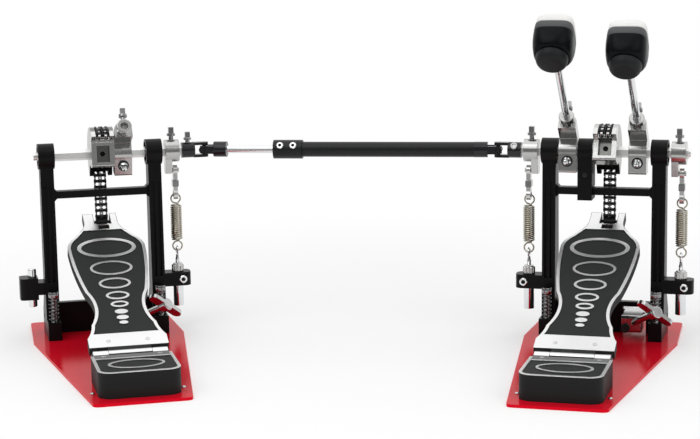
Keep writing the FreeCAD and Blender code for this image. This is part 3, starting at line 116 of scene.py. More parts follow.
def new_material(name):
    """A material with its node tree and its main shader."""
    material = bpy.data.materials.new(name)
    material.use_nodes = True
    tree = material.node_tree
    return material, tree, tree.nodes["Principled BSDF"]


def add_node(tree, kind, **values):
    """A node whose named inputs or settings have the given values."""
    made = tree.nodes.new(kind)
    for key, item in values.items():
        if key in made.inputs:
            made.inputs[key].default_value = item
        else:
            setattr(made, key, item)
    return made


def compute(tree, operation, *terms, clamp=False):
    """One step of arithmetic on sockets and plain numbers."""
    made = add_node(tree, "ShaderNodeMath", operation=operation, use_clamp=clamp)
    for socket, term in zip(made.inputs, terms):
        if isinstance(term, (int, float)):
            socket.default_value = term
        else:
            tree.links.new(term, socket)
    return made.outputs["Value"]


def remap(tree, source, from_range, to_range, smooth=False):
    """A value carried from one range to another, in a straight line or with soft ends."""
    made = add_node(tree, "ShaderNodeMapRange")
    if smooth:
        made.interpolation_type = "SMOOTHSTEP"
    for key, item in zip(("From Min", "From Max", "To Min", "To Max"), (*from_range, *to_range)):
        made.inputs[key].default_value = item
    tree.links.new(source, made.inputs["Value"])
    return made.outputs["Result"]


def place_along(tree, direction):
    """How far a surface point lies along a direction, in row-frame metres."""
    where = add_node(tree, "ShaderNodeTexCoord")
    made = add_node(tree, "ShaderNodeVectorMath", operation="DOT_PRODUCT")
    made.inputs[1].default_value = direction
    tree.links.new(where.outputs["Object"], made.inputs[0])
    return made.outputs["Value"]


def noise(tree, scale, detail=4.0):
    """Fine noise fixed to the piece."""
    where = add_node(tree, "ShaderNodeTexCoord")
    made = add_node(tree, "ShaderNodeTexNoise", Scale=scale, Detail=detail)
    tree.links.new(where.outputs["Object"], made.inputs["Vector"])
    return made.outputs["Fac"]


def blend_colors(tree, factor, low, high):
    """A colour between two, by a factor. The mix node's colour sockets are known by number."""
    first, second, result = 6, 7, 2
    made = add_node(tree, "ShaderNodeMix", data_type="RGBA")
    made.inputs[first].default_value = (*low, 1)
    made.inputs[second].default_value = (*high, 1)
    tree.links.new(factor, made.inputs["Factor"])
    return made.outputs[result]


def bumped(tree, shader, grain, strength, edge=0.0):
    """Fine relief on a shader, over softened edges where an edge radius is given."""
    made = add_node(tree, "ShaderNodeBump", Strength=strength, Distance=0.5 * MM)
    tree.links.new(noise(tree, grain, 2), made.inputs["Height"])
    tree.links.new(made.outputs["Normal"], shader.inputs["Normal"])
    if edge:
        softened = add_node(tree, "ShaderNodeBevel", Radius=edge, samples=4)
        tree.links.new(softened.outputs["Normal"], made.inputs["Normal"])


# Masks over a piece

def height_mask(tree, normal, low, sunk):
    """1 above a plane, except in a thin layer at the sunken field's own height."""
    height = place_along(tree, normal)
    above = compute(tree, "GREATER_THAN", height, low)
    field = compute(tree, "COMPARE", height, sunk, FIELD_LAYER * MM)
    return compute(tree, "SUBTRACT", above, field, clamp=True)


def with_painted_shadow_line(tree, mask, along, at, half):
    """The mask less a thin line across the piece, painted dark as the shadow that falls in the gap under the
    band's edge.
    """
    line = compute(tree, "COMPARE", place_along(tree, along), at, half)
    return compute(tree, "SUBTRACT", mask, line, clamp=True)


def painted_edge_shade(tree, along, start, radius):
    """1 on the rounded edges that lie beyond a place along the piece, where their shading is painted as a dark
    line.
    """
    flat_cosine = 0.985
    softened = add_node(tree, "ShaderNodeBevel", Radius=radius, samples=6)
    plain = add_node(tree, "ShaderNodeNewGeometry")
    facing = add_node(tree, "ShaderNodeVectorMath", operation="DOT_PRODUCT")
    tree.links.new(softened.outputs["Normal"], facing.inputs[0])
    tree.links.new(plain.outputs["True Normal"], facing.inputs[1])
    turned = compute(tree, "LESS_THAN", facing.outputs["Value"], flat_cosine)
    beyond = compute(tree, "GREATER_THAN", place_along(tree, along), start)
    return compute(tree, "MULTIPLY", turned, beyond)


# Materials

def worn(name, low, high, metallic, rough, grain, bump, specular=0.5, edge=0.0):
    """A surface whose colour, roughness and relief vary with noise, with softened edges."""
    broad = 30
    material, tree, shader = new_material(name)
    shader.inputs["Metallic"].default_value = metallic
    shader.inputs["Specular IOR Level"].default_value = specular
    tree.links.new(blend_colors(tree, noise(tree, broad), low, high), shader.inputs["Base Color"])
    tree.links.new(remap(tree, noise(tree, grain / 4), (0, 1), rough), shader.inputs["Roughness"])
    bumped(tree, shader, grain, bump, edge)
    return material


def faced_metal(name, normal, low, high):
    """Bright casting whose face beyond a plane is polished, and whose hollows behind it are painted darker as
    shade.
    """
    # The darker tone is painted shade for the hollows behind the face.
    recess_shade, polished = (0.22, 0.22, 0.21), (0.62, 0.62, 0.61)
    material, tree, shader = new_material(name)
    shader.inputs["Metallic"].default_value = 1.0
    raised = remap(tree, place_along(tree, normal), (low, high), (0, 1), smooth=True)
    tree.links.new(blend_colors(tree, raised, recess_shade, polished), shader.inputs["Base Color"])
    tree.links.new(remap(tree, noise(tree, 350), (0, 1), (0.13, 0.22)), shader.inputs["Roughness"])
    bumped(tree, shader, grain=1400, strength=0.06, edge=0.6 * MM)
    return material


def two_tone(name, normal, low, sunk, dark, bright, shadow_line=None, neck_edge_shade=None):
    """Polished metal above a plane given in row-frame metres, painted below it and in the sunken field, with an
    optional painted shadow line and painted shade on rounded edges.
    """
    polish = -0.2
    material, tree, shader = new_material(name)
    shader.inputs["Specular IOR Level"].default_value = 0.12
    mask = height_mask(tree, normal, low, sunk)
    # A thin dark line is painted across the band as the shadow in the gap under its edge.
    if shadow_line:
        mask = with_painted_shadow_line(tree, mask, *shadow_line)
    # The neck's rounded edges are painted dark as shade.
    if neck_edge_shade:
        mask = compute(tree, "SUBTRACT", mask, painted_edge_shade(tree, *neck_edge_shade), clamp=True)
    tree.links.new(blend_colors(tree, mask, dark, bright), shader.inputs["Base Color"])
    tree.links.new(mask, shader.inputs["Metallic"])
    paint = remap(tree, noise(tree, 500), (0, 1), (0.48, 0.58))
    tree.links.new(compute(tree, "MULTIPLY_ADD", mask, polish, paint), shader.inputs["Roughness"])
    bumped(tree, shader, grain=2500, strength=0.08, edge=0.4 * MM)
    return material


def set_input(material, key, item):
    """Give one input of a material's main shader a value."""
    material.node_tree.nodes["Principled BSDF"].inputs[key].default_value = item


RED = worn("red_enamel", (0.64, 0.004, 0.016), (0.72, 0.006, 0.022), metallic=0.15, rough=(0.1, 0.18),
           grain=1800, bump=0.03, specular=0.05)
set_input(RED, "Specular Tint", (0.62, 0.02, 0.035, 1))
BLACK = worn("black_casting", (0.003, 0.003, 0.0033), (0.005, 0.005, 0.0055), metallic=0.0, rough=(0.3, 0.4),
             grain=2600, bump=0.06, specular=0.25, edge=0.8 * MM)
set_input(BLACK, "IOR", 1.33)
CHROME = worn("chrome", (0.74, 0.75, 0.76), (0.82, 0.83, 0.84), metallic=1.0, rough=(0.06, 0.12),
              grain=900, bump=0.01, edge=0.3 * MM)
SATIN_CHROME = worn("satin_chrome", (0.52, 0.52, 0.52), (0.62, 0.62, 0.62), metallic=1.0, rough=(0.18, 0.26),
                    grain=1200, bump=0.004, edge=0.3 * MM)
SILVER = worn("polished_casting", (0.43, 0.43, 0.42), (0.54, 0.54, 0.53), metallic=1.0, rough=(0.13, 0.22),
              grain=1400, bump=0.06, edge=0.7 * MM)
ROLLED = worn("rolled_bar", (0.80, 0.80, 0.79), (0.88, 0.88, 0.87), metallic=1.0, rough=(0.34, 0.42),
              grain=1400, bump=0.03, edge=0.3 * MM)
KEY_STEEL = worn("key_screw_steel", (0.28, 0.28, 0.28), (0.38, 0.38, 0.38), metallic=1.0, rough=(0.1, 0.18),
                 grain=900, bump=0.02, edge=0.3 * MM)
STEEL = worn("bright_steel", (0.54, 0.54, 0.53), (0.66, 0.66, 0.65), metallic=1.0, rough=(0.14, 0.24),
             grain=2000, bump=0.04, edge=0.3 * MM)
BLACK_CHROME = worn("black_chrome", (0.014, 0.014, 0.016), (0.026, 0.026, 0.029), metallic=0.5,
                    rough=(0.12, 0.2), grain=1500, bump=0.03, edge=0.4 * MM)
SATIN_TUBE = worn("satin_black_tube", (0.005, 0.0055, 0.006), (0.009, 0.0095, 0.01), metallic=0.0,
                  rough=(0.34, 0.44), grain=3000, bump=0.05, specular=0.3)
SPRING_STEEL = worn("spring_steel", (0.40, 0.37, 0.30), (0.52, 0.48, 0.40), metallic=1.0, rough=(0.2, 0.3),
                    grain=1500, bump=0.03)
DARK_SPRING = worn("dark_spring", (0.10, 0.10, 0.10), (0.18, 0.18, 0.18), metallic=0.9, rough=(0.25, 0.36),
                   grain=1500, bump=0.04)
CHAIN_STEEL = worn("dark_chain", (0.012, 0.012, 0.013), (0.03, 0.03, 0.032), metallic=0.6,
                   rough=(0.24, 0.36), grain=1500, bump=0.05, specular=0.4)
SHELL = worn("beater_shell", (0.003, 0.0035, 0.005), (0.005, 0.0055, 0.007), metallic=0.0,
             rough=(0.24, 0.34), grain=1200, bump=0.04, specular=0.08)
BAND = worn("beater_band", (0.065, 0.068, 0.07), (0.085, 0.088, 0.09), metallic=0.0, rough=(0.45, 0.55),
            grain=1800, bump=0.1, specular=0.3)
NOSE = worn("beater_nose", (0.011, 0.012, 0.013), (0.018, 0.019, 0.02), metallic=0.0, rough=(0.4, 0.5),
            grain=1600, bump=0.08, specular=0.15)
RUBBER = worn("black_rubber", (0.006, 0.006, 0.006), (0.012, 0.012, 0.012), metallic=0.0, rough=(0.5, 0.65),
              grain=2200, bump=0.2, specular=0.3)
FELT = worn("white_felt", (0.80, 0.80, 0.78), (0.90, 0.90, 0.88), metallic=0.0, rough=(0.9, 1.0),
            grain=900, bump=0.6, specular=0.1)
BOARD_FIELD, BOARD_METAL = (0.022, 0.024, 0.024), (0.80, 0.80, 0.80)
HEEL_FIELD, HEEL_METAL = (0.014, 0.015, 0.015), (0.82, 0.82, 0.82)
LEAF_METAL, KNUCKLE_METAL = (0.16, 0.16, 0.16), (0.86, 0.86, 0.86)


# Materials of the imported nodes

# Parts that each pedal has, and parts that there are only once
PEDAL_PARTS = (
    (RED, ("base_plate",)), (BLACK, ("frame",)), (KEY_STEEL, ("shaft_screws", "spurs")), (ROLLED, ("shaft",)),
    (CHROME, ("tensioners",)), (SATIN_CHROME, ("clamp_jaw", "clamp_wing")),
    (SILVER, ("beater_hub", "rocker", "bearings")), (STEEL, ("swivel", "spring")),
    (CHAIN_STEEL, ("chain_wrap", "chain_strand")))
SINGLE_PARTS = (
    (BLACK, ("primary_center_support", "secondary_anchor_clamp")), (ROLLED, ("slave_shaft",)),
    (KEY_STEEL, ("slave_shaft_screws",)), (SATIN_TUBE, ("link_tube",)),
    (CHROME, ("primary_beater_rod", "slave_beater_rod", "secondary_anchor_rod", "secondary_anchor_wing",
              "link_rod")),
    (SILVER, ("slave_beater_hub", "slave_rocker")), (STEEL, ("slave_swivel", "slave_spring")),
    (BLACK_CHROME, ("slave_yoke", "secondary_yoke", "link_tube_yoke", "link_rod_yoke", "primary_cross",
                    "secondary_cross", "primary_beater_head", "slave_beater_head")))


def wheel_material(name, place):
    """Chain wheel whose square block has a polished front face, with the window and all behind the face painted
    darker as shade.
    """
    tilt = math.radians(BLOCK_TILTS[name])
    front = place.to_3x3() @ Vector((0, -math.cos(tilt), math.sin(tilt)))
    face = front.dot(place @ Vector((0, 0, SHAFT_Z))) + BLOCK_FRONT
    return faced_metal(name + "_wheel", front, (face - POLISH_STARTS) * MM, (face - POLISH_FULL) * MM)


def board_material(name, place):
    """Footboard with a dark field, bright rings and rims, a painted shadow line near the hinge and painted
    shade on the neck's rounded edges.
    """
    slope = place.to_3x3() @ Vector((0, -math.sin(BOARD_SLOPE), math.cos(BOARD_SLOPE)))
    along = place.to_3x3() @ Vector((0, math.cos(BOARD_SLOPE), math.sin(BOARD_SLOPE)))
    hinge = place @ Vector((0, HINGE_Y, HINGE_Z))
    top = slope.dot(hinge) + BOARD_TOP
    # The line near the hinge is painted shadow: a dark strip where the band's edge throws shade.
    shadow_line = (along, (along.dot(hinge) + SHADOW_LINE_AT) * MM, SHADOW_LINE_HALF * MM)
    # Beyond the shoulder, the rounded edges of the neck are painted dark as shade.
    neck_edge_shade = (along, (along.dot(hinge) + SHOULDER_AT) * MM, NECK_SHADE_RADIUS * MM)
    return two_tone(name + "_board", slope, (top - BOARD_EDGE) * MM, (top - FIELD_DEPTH) * MM, BOARD_FIELD,
                    BOARD_METAL, shadow_line, neck_edge_shade)


def heel_material(name):
    """Heel plate with a dark field inside a bright rim."""
    return two_tone(name + "_heel", UP, (HEEL_TOP - HEEL_EDGE) * MM, (HEEL_TOP - FIELD_DEPTH) * MM,
                    HEEL_FIELD, HEEL_METAL)


def hinge_material(name):
    """Hinge with a dark leaf and bright knuckles, and no sunken field."""
    return two_tone(name + "_hinge", UP, (HEEL_TOP + KNUCKLE_RISE) * MM, 0, LEAF_METAL, KNUCKLE_METAL)


node_materials = {part: material for material, parts in SINGLE_PARTS for part in parts}
for name, place in PEDALS:
    for material, parts in PEDAL_PARTS:
        for part in parts:
            node_materials[f"{name}_{part}"] = material
    node_materials[name + "_sprocket"] = wheel_material(name, place)
    node_materials[name + "_footboard"] = board_material(name, place)
    node_materials[name + "_heel_plate"] = heel_material(name)
    node_materials[name + "_heel_hinge"] = hinge_material(name)
for node, piece in NODES.items():
    piece.data.materials.clear()
    piece.data.materials.append(node_materials[node])


# Shapes of the fine pieces, as points and faces in millimetres

def put(name, shape, material, body, place, sharp=35):
    """A piece drawn in a local frame, which rides on a body if one is named. Sharp is in degrees."""
    points, faces = shape
    mesh = bpy.data.meshes.new(name)
    mesh.from_pydata([(place @ Vector(p)) * MM for p in points], [], faces)
    shell = bmesh.new()
    shell.from_mesh(mesh)
    bmesh.ops.recalc_face_normals(shell, faces=shell.faces)
    shell.to_mesh(mesh)
    shell.free()
    mesh.shade_smooth()
    mesh.set_sharp_from_angle(angle=math.radians(sharp))
    mesh.materials.append(material)
    piece = bpy.data.objects.new(name, mesh)
    bpy.context.scene.collection.objects.link(piece)
    if body:
        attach(piece, body)
    return piece


def joined(*shapes):
    """Several shapes as one list of points and faces."""
    points, faces = [], []
    for more_points, more_faces in shapes:
        faces += [tuple(i + len(points) for i in face) for face in more_faces]
        points += list(more_points)
    return points, faces


def shifted(shape, matrix):
    """A shape moved by a matrix."""
    return [matrix @ Vector(p) for p in shape[0]], shape[1]


def rings_to_shape(rings):
    """Rings of equal length joined into a skin, capped at both ends."""
    count = len(rings[0])
    points = [p for ring in rings for p in ring]
    faces = []
    for i in range(len(rings) - 1):
        for k in range(count):
            n = (k + 1) % count
            faces.append((i * count + k, i * count + n, (i + 1) * count + n, (i + 1) * count + k))
    faces += [tuple(range(count)), tuple(range((len(rings) - 1) * count, len(rings) * count))]
    return points, faces


def lathe(profile, segments=28):
    """A turned piece from (radius, height) pairs round Z."""
    turn = [2 * math.pi * k / segments for k in range(segments)]
    return rings_to_shape([[Vector((r * math.cos(t), r * math.sin(t), z)) for t in turn] for r, z in profile])


def tube(path, radius, sides=9):
    """A round wire along a path of points."""
    rings = []
    ahead = [(b - a).normalized() for a, b in zip(path, path[1:])]
    side = ahead[0].orthogonal().normalized()
    for i, point in enumerate(path):
        along = (ahead[max(i - 1, 0)] + ahead[min(i, len(ahead) - 1)]).normalized()
        side = (side - along * side.dot(along)).normalized()
        other = along.cross(side)
        turn = [2 * math.pi * k / sides for k in range(sides)]
        rings.append([point + (side * math.cos(t) + other * math.sin(t)) * radius for t in turn])
    return rings_to_shape(rings)


def block(low, high):
    """A box between two corners."""
    spans = list(zip(low, high))
    points = [Vector((x, y, z)) for x in spans[0] for y in spans[1] for z in spans[2]]
    return points, [(0, 1, 3, 2), (4, 6, 7, 5), (0, 4, 5, 1), (2, 3, 7, 6), (0, 2, 6, 4), (1, 5, 7, 3)]


def chamfered(half_x, half_y, height, chamfer):
    """An upright square block with chamfered ends."""
    rings = []
    for z, inset in ((0, chamfer), (chamfer, 0), (height - chamfer, 0), (height, chamfer)):
        x, y = half_x - inset, half_y - inset
        rings.append([Vector((x, y, z)), Vector((-x, y, z)), Vector((-x, -y, z)), Vector((x, -y, z))])
    return rings_to_shape(rings)


def threads(radius, depth, low, high, pitch):
    """Profile of a threaded stretch as fine grooves."""
    profile = []
    count = max(1, int((high - low) / pitch))
    for n in range(count):
        z = low + n * (high - low) / count
        profile += [(radius, z), (radius - depth, z + (high - low) / count / 2)]
    return profile + [(radius, high)]


def knurled(radius, height, teeth=36):
    """A round nut with fine teeth and eased ends."""
    tooth, bevel, eased = 0.35, 0.7, 0.9
    rings = []
    for z, scale in ((0, eased), (bevel, 1), (height - bevel, 1), (height, eased)):
        ring = []
        for k in range(2 * teeth):
            r = radius * scale - (tooth if k % 2 else 0)
            ring.append(Vector((r * math.cos(math.pi * k / teeth), r * math.sin(math.pi * k / teeth), z)))
        rings.append(ring)
    return rings_to_shape(rings)


def key_head(radius):
    """A round screw head with a raised rim, seen from its top."""
    return lathe([(radius, 0), (radius, 1.6), (radius - 0.8, 2.4), (radius - 1.9, 2.4), (radius - 2.2, 1.5),
                  (0.4, 1.5)])


def key_socket_shade(radius):
    """A black disc at the bottom of a key head's socket, painted shade standing in for the depth of the hole.
    """
    return lathe([(radius, 1.3), (radius, 1.62)])


def pointing(place, point, axis):
    """A frame at a point of a pedal whose Z is the given axis."""
    turn = Vector(axis).to_track_quat("Z", "Y").to_matrix().to_4x4()
    return place @ Matrix.Translation(point) @ turn


# Tension springs, stretched between the stand and the swivel, and a square block on each swivel

def spring_path():
    """Middle line of a close coil with an end loop at each side, about its own middle."""
    turns, radius, small, loop, taper = 8.25, 5.4, 1.8, 5.0, 2.6
    coil_steps, loop_steps = 22, 24
    loop_sweep = math.radians(335)
    length = SPRING_TOP - SPRING_BOTTOM
    pitch = (length - 2 * taper - 4 * loop) / (2 * turns)
    half = []
    for n in range(int((turns + 1) * coil_steps) + 1):
        turn = n / coil_steps
        over = max(0.0, turn - turns)
        ease = over * over * (3 - 2 * over)
        r = radius + (small - radius) * ease
        angle = 2 * math.pi * turn
        rise = pitch * min(turn, turns) + taper * over
        half.append(Vector((r * math.cos(angle), r * math.sin(angle), rise)))
    end = half[-1]
    for n in range(1, loop_steps + 1):
        angle = loop_sweep * n / loop_steps
        half.append(end + Vector((-loop * math.sin(angle), 0, loop * (1 - math.cos(angle)))))
    return [Vector((p.x, -p.y, -p.z)) for p in half[:0:-1]] + half


SPRING_WIRE = 0.85
SPRING_MIDDLE = (SPRING_TOP + SPRING_BOTTOM) / 2
SWIVEL_BLOCK = chamfered(half_x=3.2, half_y=4.7, height=7.6, chamfer=0.8)
for name, place, side, stand in (("primary", PRIMARY, 1, "primary_stand"),
                                 ("slave", PRIMARY, -1, "primary_stand"),
                                 ("secondary", SECONDARY, 1, "secondary_stand")):
    at = place @ Matrix.Translation((side * SPRING_X, 0, SPRING_MIDDLE))
    piece = put(name + "_coil_wire", tube(spring_path(), SPRING_WIRE), SPRING_STEEL, None, at)
    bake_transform(piece)
    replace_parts(piece, name + "_spring")
    swivel_block = shifted(SWIVEL_BLOCK, Matrix.Translation((side * SPRING_X, 0, SWIVEL_BLOCK_Z)))
    put(name + "_swivel_block", swivel_block, KEY_STEEL, name + "_tag", place)


# Tensioners: eye bolt, knurled nut, sleeve, and the key screw in the lug's front

def eye_bolt():
    """Threaded bolt with a ring that takes the spring's lower loop."""
    ring, wire, steps = 4.4, 1.1, 40
    turn = [2 * math.pi * k / steps for k in range(steps + 1)]
    eye = [Vector((0, ring * math.sin(a), SPRING_BOTTOM - ring * math.cos(a))) for a in turn]
    thread = threads(radius=2.5, depth=0.4, low=30, high=77, pitch=1.1)
    rod = lathe([(2.2, 29.6)] + thread + [(1.9, 79), (1.5, 82.4)])
    return joined(tube(eye, wire), rod)


def tension_nut():
    """Knurled nut on the lug with a washer on top."""
    nut = shifted(knurled(radius=6.5, height=7.5), Matrix.Translation((0, 0, TENSION_LUG_TOP)))
    washer = lathe([(5.2, 71.5), (5.2, 72.7), (4.2, 73.3), (2.7, 73.3)])
    return joined(nut, washer)


def tension_sleeve():
    """Smooth sleeve below the lug."""
    return lathe([(4.2, 28), (4.3, 26.6), (5.2, 26.5), (5.5, 27), (5.5, TENSION_LUG_BOTTOM - 0.1),
                  (2.7, TENSION_LUG_BOTTOM)])


for name, place, sides in (("primary", PRIMARY, (-1, 1)), ("secondary", SECONDARY, (1,))):
    lines = [Matrix.Translation((side * SPRING_X, 0, 0)) for side in sides]
    screw_x = SPRING_X + TENSION_SCREW_OUT
    fronts = [pointing(PRIMARY, (side * screw_x, TENSION_SCREW_Y, TENSION_SCREW_Z), FRONT) for side in sides]
    body = name + "_stand"
    bolts = joined(*[shifted(eye_bolt(), at) for at in lines])
    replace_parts(put(name + "_tension_bolts", bolts, CHROME, body, place), name + "_tensioners")
    nuts = joined(*[shifted(tension_nut(), at) for at in lines])
    put(name + "_tension_nuts", nuts, STEEL, body, place)
    sleeves = joined(*[shifted(tension_sleeve(), at) for at in lines])
    put(name + "_tension_sleeves", sleeves, CHROME, body, place)
    screws = joined(*[shifted(key_head(radius=4.2), front) for front in fronts])
    put(name + "_lug_screws", screws, CHROME, body, place)
    # Black discs painted as the shade deep in the key sockets.
    sockets = joined(*[shifted(key_socket_shade(radius=1.9), front) for front in fronts])
    put(name + "_lug_socket_shades", sockets, BLACK, body, place)


# Spurs: spiked screws with knurled caps over black coil springs

def spur_screw():
    """Spiked and threaded screw under a knurled cap."""
    cap_z = 48
    thread = threads(radius=3, depth=0.35, low=8, high=47, pitch=1.25)
    screw = lathe([(0.5, 1), (2.9, 7)] + thread + [(3, 48.4)])
    cap = shifted(knurled(radius=5.2, height=6, teeth=24), Matrix.Translation((0, 0, cap_z)))
    return joined(screw, cap)


def spur_coil():
    """Open coil of six turns round the screw."""
    radius, wire, bottom, height, turns, steps = 4.7, 0.65, 22.85, 24.3, 6, 20
    angles = [2 * math.pi * k / steps for k in range(steps * turns + 1)]
    path = [Vector((radius * math.cos(a), radius * math.sin(a), bottom + height * a / (2 * math.pi * turns)))
            for a in angles]
    return tube(path, wire)


for name, place in PEDALS:
    lines = [Matrix.Translation((side * POST_X, SPUR_Y, 0)) for side in (-1, 1)]
    screws = joined(*[shifted(spur_screw(), at) for at in lines])
    piece = put(name + "_spur_screws", screws, KEY_STEEL, name + "_stand", place)
    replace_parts(piece, name + "_spurs")
    coils = joined(*[shifted(spur_coil(), at) for at in lines])
    put(name + "_spur_coils", coils, DARK_SPRING, name + "_stand", place)


# Beater heads: felt pad, satin band, black shell and round plastic nose

def head_ring(y, half_x, half_z, power, count=64):
    """A rounded square across the beater head, fuller with a higher power."""
    ring = []
    for k in range(count):
        t = 2 * math.pi * k / count
        c, d = math.cos(t), math.sin(t)
        ring.append(Vector((half_x * math.copysign(abs(c) ** (2 / power), c), HEAD_Y + y,
                            HEAD_Z + half_z * math.copysign(abs(d) ** (2 / power), d))))
    return ring


# Stations along each layer: place, half width, half height and power
SHELL_RINGS = ((-15, 14, 15, 2.0), (-15, 16.6, 17.6, 2.1), (-14.4, 17.5, 18.9, 2.2), (-12, 18.7, 20.4, 2.4),
               (-8, 19.6, 21.5, 2.8), (-3, 20.1, 22.1, 3.1), (3, 20.2, 22.3, 3.5), (5.6, 20.0, 22.2, 3.7),
               (5.8, 19.6, 21.8, 3.7), (5.8, 15, 17, 3.7))
BAND_RINGS = ((5.9, 15, 17, 3.7), (5.9, 19.6, 21.8, 3.7), (6.2, 19.9, 22.1, 3.8), (10, 19.7, 21.9, 4.2),
              (14, 19.4, 21.5, 4.5), (14.7, 18.9, 21, 4.5), (14.8, 15, 17, 4.5))
FELT_RINGS = ((14.9, 16, 18, 4.4), (14.9, 18.3, 20.3, 4.4), (16, 18.9, 20.9, 4.4), (20, 18.9, 20.9, 4.3),
              (22.6, 18.5, 20.5, 4.2), (24.2, 17.3, 19.3, 4.0), (25, 14.6, 16.5, 3.6), (25, 8, 9, 3))
NOSE_RINGS = [(y, r, r, 2) for y, r in (
    (-14.9, 15.2), (-15.6, 15.2), (-15.8, 16.2), (-18.4, 16.0), (-21, 15.2), (-23, 13.9), (-24.3, 12.2),
    (-25, 9.8), (-25, 3))]


def head_layer(stations):
    """One layer of the beater head."""
    return rings_to_shape([head_ring(*station) for station in stations])


def hub_place(pedal, hub_x, lean):
    """A frame in the middle of a hub, leant about the shaft by degrees."""
    return pedal @ SHAFT @ Matrix.Translation((hub_x, 0, 0)) @ Matrix.Rotation(math.radians(lean), 4, "X")


HEAD_SHARP, NOSE_SHARP = 60, 40
for name, pedal, hub_x, lean in BEATER_HUBS:
    place = hub_place(pedal, hub_x, lean)
    body = name + "_beater"
    piece = put(name + "_beater_shell", head_layer(SHELL_RINGS), SHELL, body, place, HEAD_SHARP)
    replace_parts(piece, name + "_beater_head")
    put(name + "_beater_band", head_layer(BAND_RINGS), BAND, body, place, HEAD_SHARP)
    put(name + "_beater_felt", head_layer(FELT_RINGS), FELT, body, place, HEAD_SHARP)
    put(name + "_beater_nose", head_layer(NOSE_RINGS), NOSE, body, place, NOSE_SHARP)


# Screws of the link's collar and of the two inner yokes

seats = [pointing(PRIMARY, (x, COLLAR_SEAT_Y, COLLAR_SEAT_Z), COLLAR_FACING) for x in COLLAR_SCREWS_X]
heads = [shifted(key_head(radius=3.7), seat) for seat in seats]
put("link_collar_screws", joined(*heads), CHROME, "link_tube", LINK)
# Black discs painted as the shade deep in the key sockets.
sockets = [shifted(key_socket_shade(radius=1.6), seat) for seat in seats]
put("link_collar_socket_shades", joined(*sockets), BLACK, "link_tube", LINK)
seat = pointing(SHAFT, (-YOKE_SCREW_X, YOKE_SEAT_Y, YOKE_SEAT_Z), YOKE_FACING)
put("slave_yoke_screw", shifted(key_head(radius=4), seat), KEY_STEEL, "slave_axle", PRIMARY)
head = joined(lathe([(2.4, -0.6), (2.4, 3), (4.2, 3.1), (4.2, 5), (3.6, 5.6), (2.6, 5.6)]),
              block((-2.6, -2.6, 5.6), (2.6, 2.6, 11.4)))
put("secondary_yoke_screw", shifted(head, SHAFT @ Matrix.Translation((YOKE_SCREW_X, 0, YOKE_TOP))), KEY_STEEL,
    "secondary_axle", SECONDARY)


# Washers and bright screw faces on the hubs' lugs

LUG_WASHER = lathe([(4.8, SEAT_GAP), (5.9, SEAT_GAP), (5.9, 0.35), (5.6, 0.5), (4.8, 0.5)])
SCREW_CONE = lathe([(4.4, KEY_HEAD + SEAT_GAP), (2.9, KEY_HEAD + 1.8), (2.0, KEY_HEAD + 1.8)])
SCREW_DOME = lathe([(2.6, KEY_END + SEAT_GAP), (2.4, KEY_END + 0.5), (1.6, KEY_END + 1.0),
                    (0.3, KEY_END + 1.2)])
screw_axis = pointing(PRIMARY, (0, -LUG_FACE, -LUG_SCREW), FRONT)
for name, pedal, hub_x, lean in BEATER_HUBS + EMPTY_HUBS:
    seat = hub_place(pedal, hub_x, lean - LUG_TURN)
    put(name + "_lug_washer", shifted(LUG_WASHER, screw_axis), BLACK_CHROME, name + "_axle", seat)
    faces = shifted(joined(SCREW_CONE, SCREW_DOME), screw_axis)
    put(name + "_lug_screw_faces", faces, CHROME, name + "_axle", seat)


# Rivets, base bolts, grub screws and clamp pads of each pedal

RIVET = lathe([(2.3, 0), (2.2, 0.25), (1.2, 0.35), (0.3, 0.35)])
BASE_BOLT = lathe([(2.3, 0), (2.2, 0.6), (1.4, 1.2), (0.4, 1.3)])
GRUB_SCREW = lathe([(2.6, 0), (2.6, 0.5), (1.5, 0.6), (1.4, 0.2), (0.3, 0.2)])
CLAMP_PAD = lathe([(4.6, 0), (4.8, 0.6), (4.8, 1.8), (4.2, 2.6), (1.5, 2.8), (0.4, 2.2)])
SOCKET_SCREW = lathe([(2.6, 0), (2.6, 0.25), (1.7, 0.3), (0.4, 0.3)])


def pair(shape, x, y, z):
    """A shape on both sides of a pedal's middle."""
    return joined(*[shifted(shape, Matrix.Translation((side * x, y, z))) for side in (-1, 1)])


for name, place in PEDALS:
    board = place @ Matrix.Translation((0, HINGE_Y, HINGE_Z)) @ Matrix.Rotation(BOARD_SLOPE, 4, "X")
    rivets = pair(RIVET, BAND_RIVET_X, BAND_RIVET_Y, BOARD_TOP)
    put(name + "_band_rivets", rivets, STEEL, name + "_board", board)
    rivets = pair(RIVET, LEAF_RIVET_X, LEAF_RIVET_Y, HEEL_TOP)
    put(name + "_leaf_rivets", rivets, STEEL, name + "_stand", place)
    bolts = pair(BASE_BOLT, BASE_BOLT_X, BASE_BOLT_Y, BASE_TOP)
    put(name + "_base_bolts", bolts, SATIN_CHROME, name + "_stand", place)
    tilted = Matrix.Rotation(math.radians(-BLOCK_TILTS[name]), 4, "X")
    grub = shifted(GRUB_SCREW, pointing(tilted, (WHEEL_X, GRUB_SCREW_Y, 0), FRONT))
    put(name + "_block_grub_screw", grub, BLACK, name + "_axle", place @ SHAFT)
    pad = shifted(CLAMP_PAD, pointing(PRIMARY, CLAMP_PAD_AT, FRONT))
    put(name + "_clamp_pad", pad, RUBBER, name + "_jaw", place)
screw = shifted(SOCKET_SCREW, pointing(PRIMARY, SUPPORT_SCREW_AT, FRONT))
put("support_socket_screw", screw, BLACK_CHROME, "primary_stand", PRIMARY)


# Stage and world, in metres

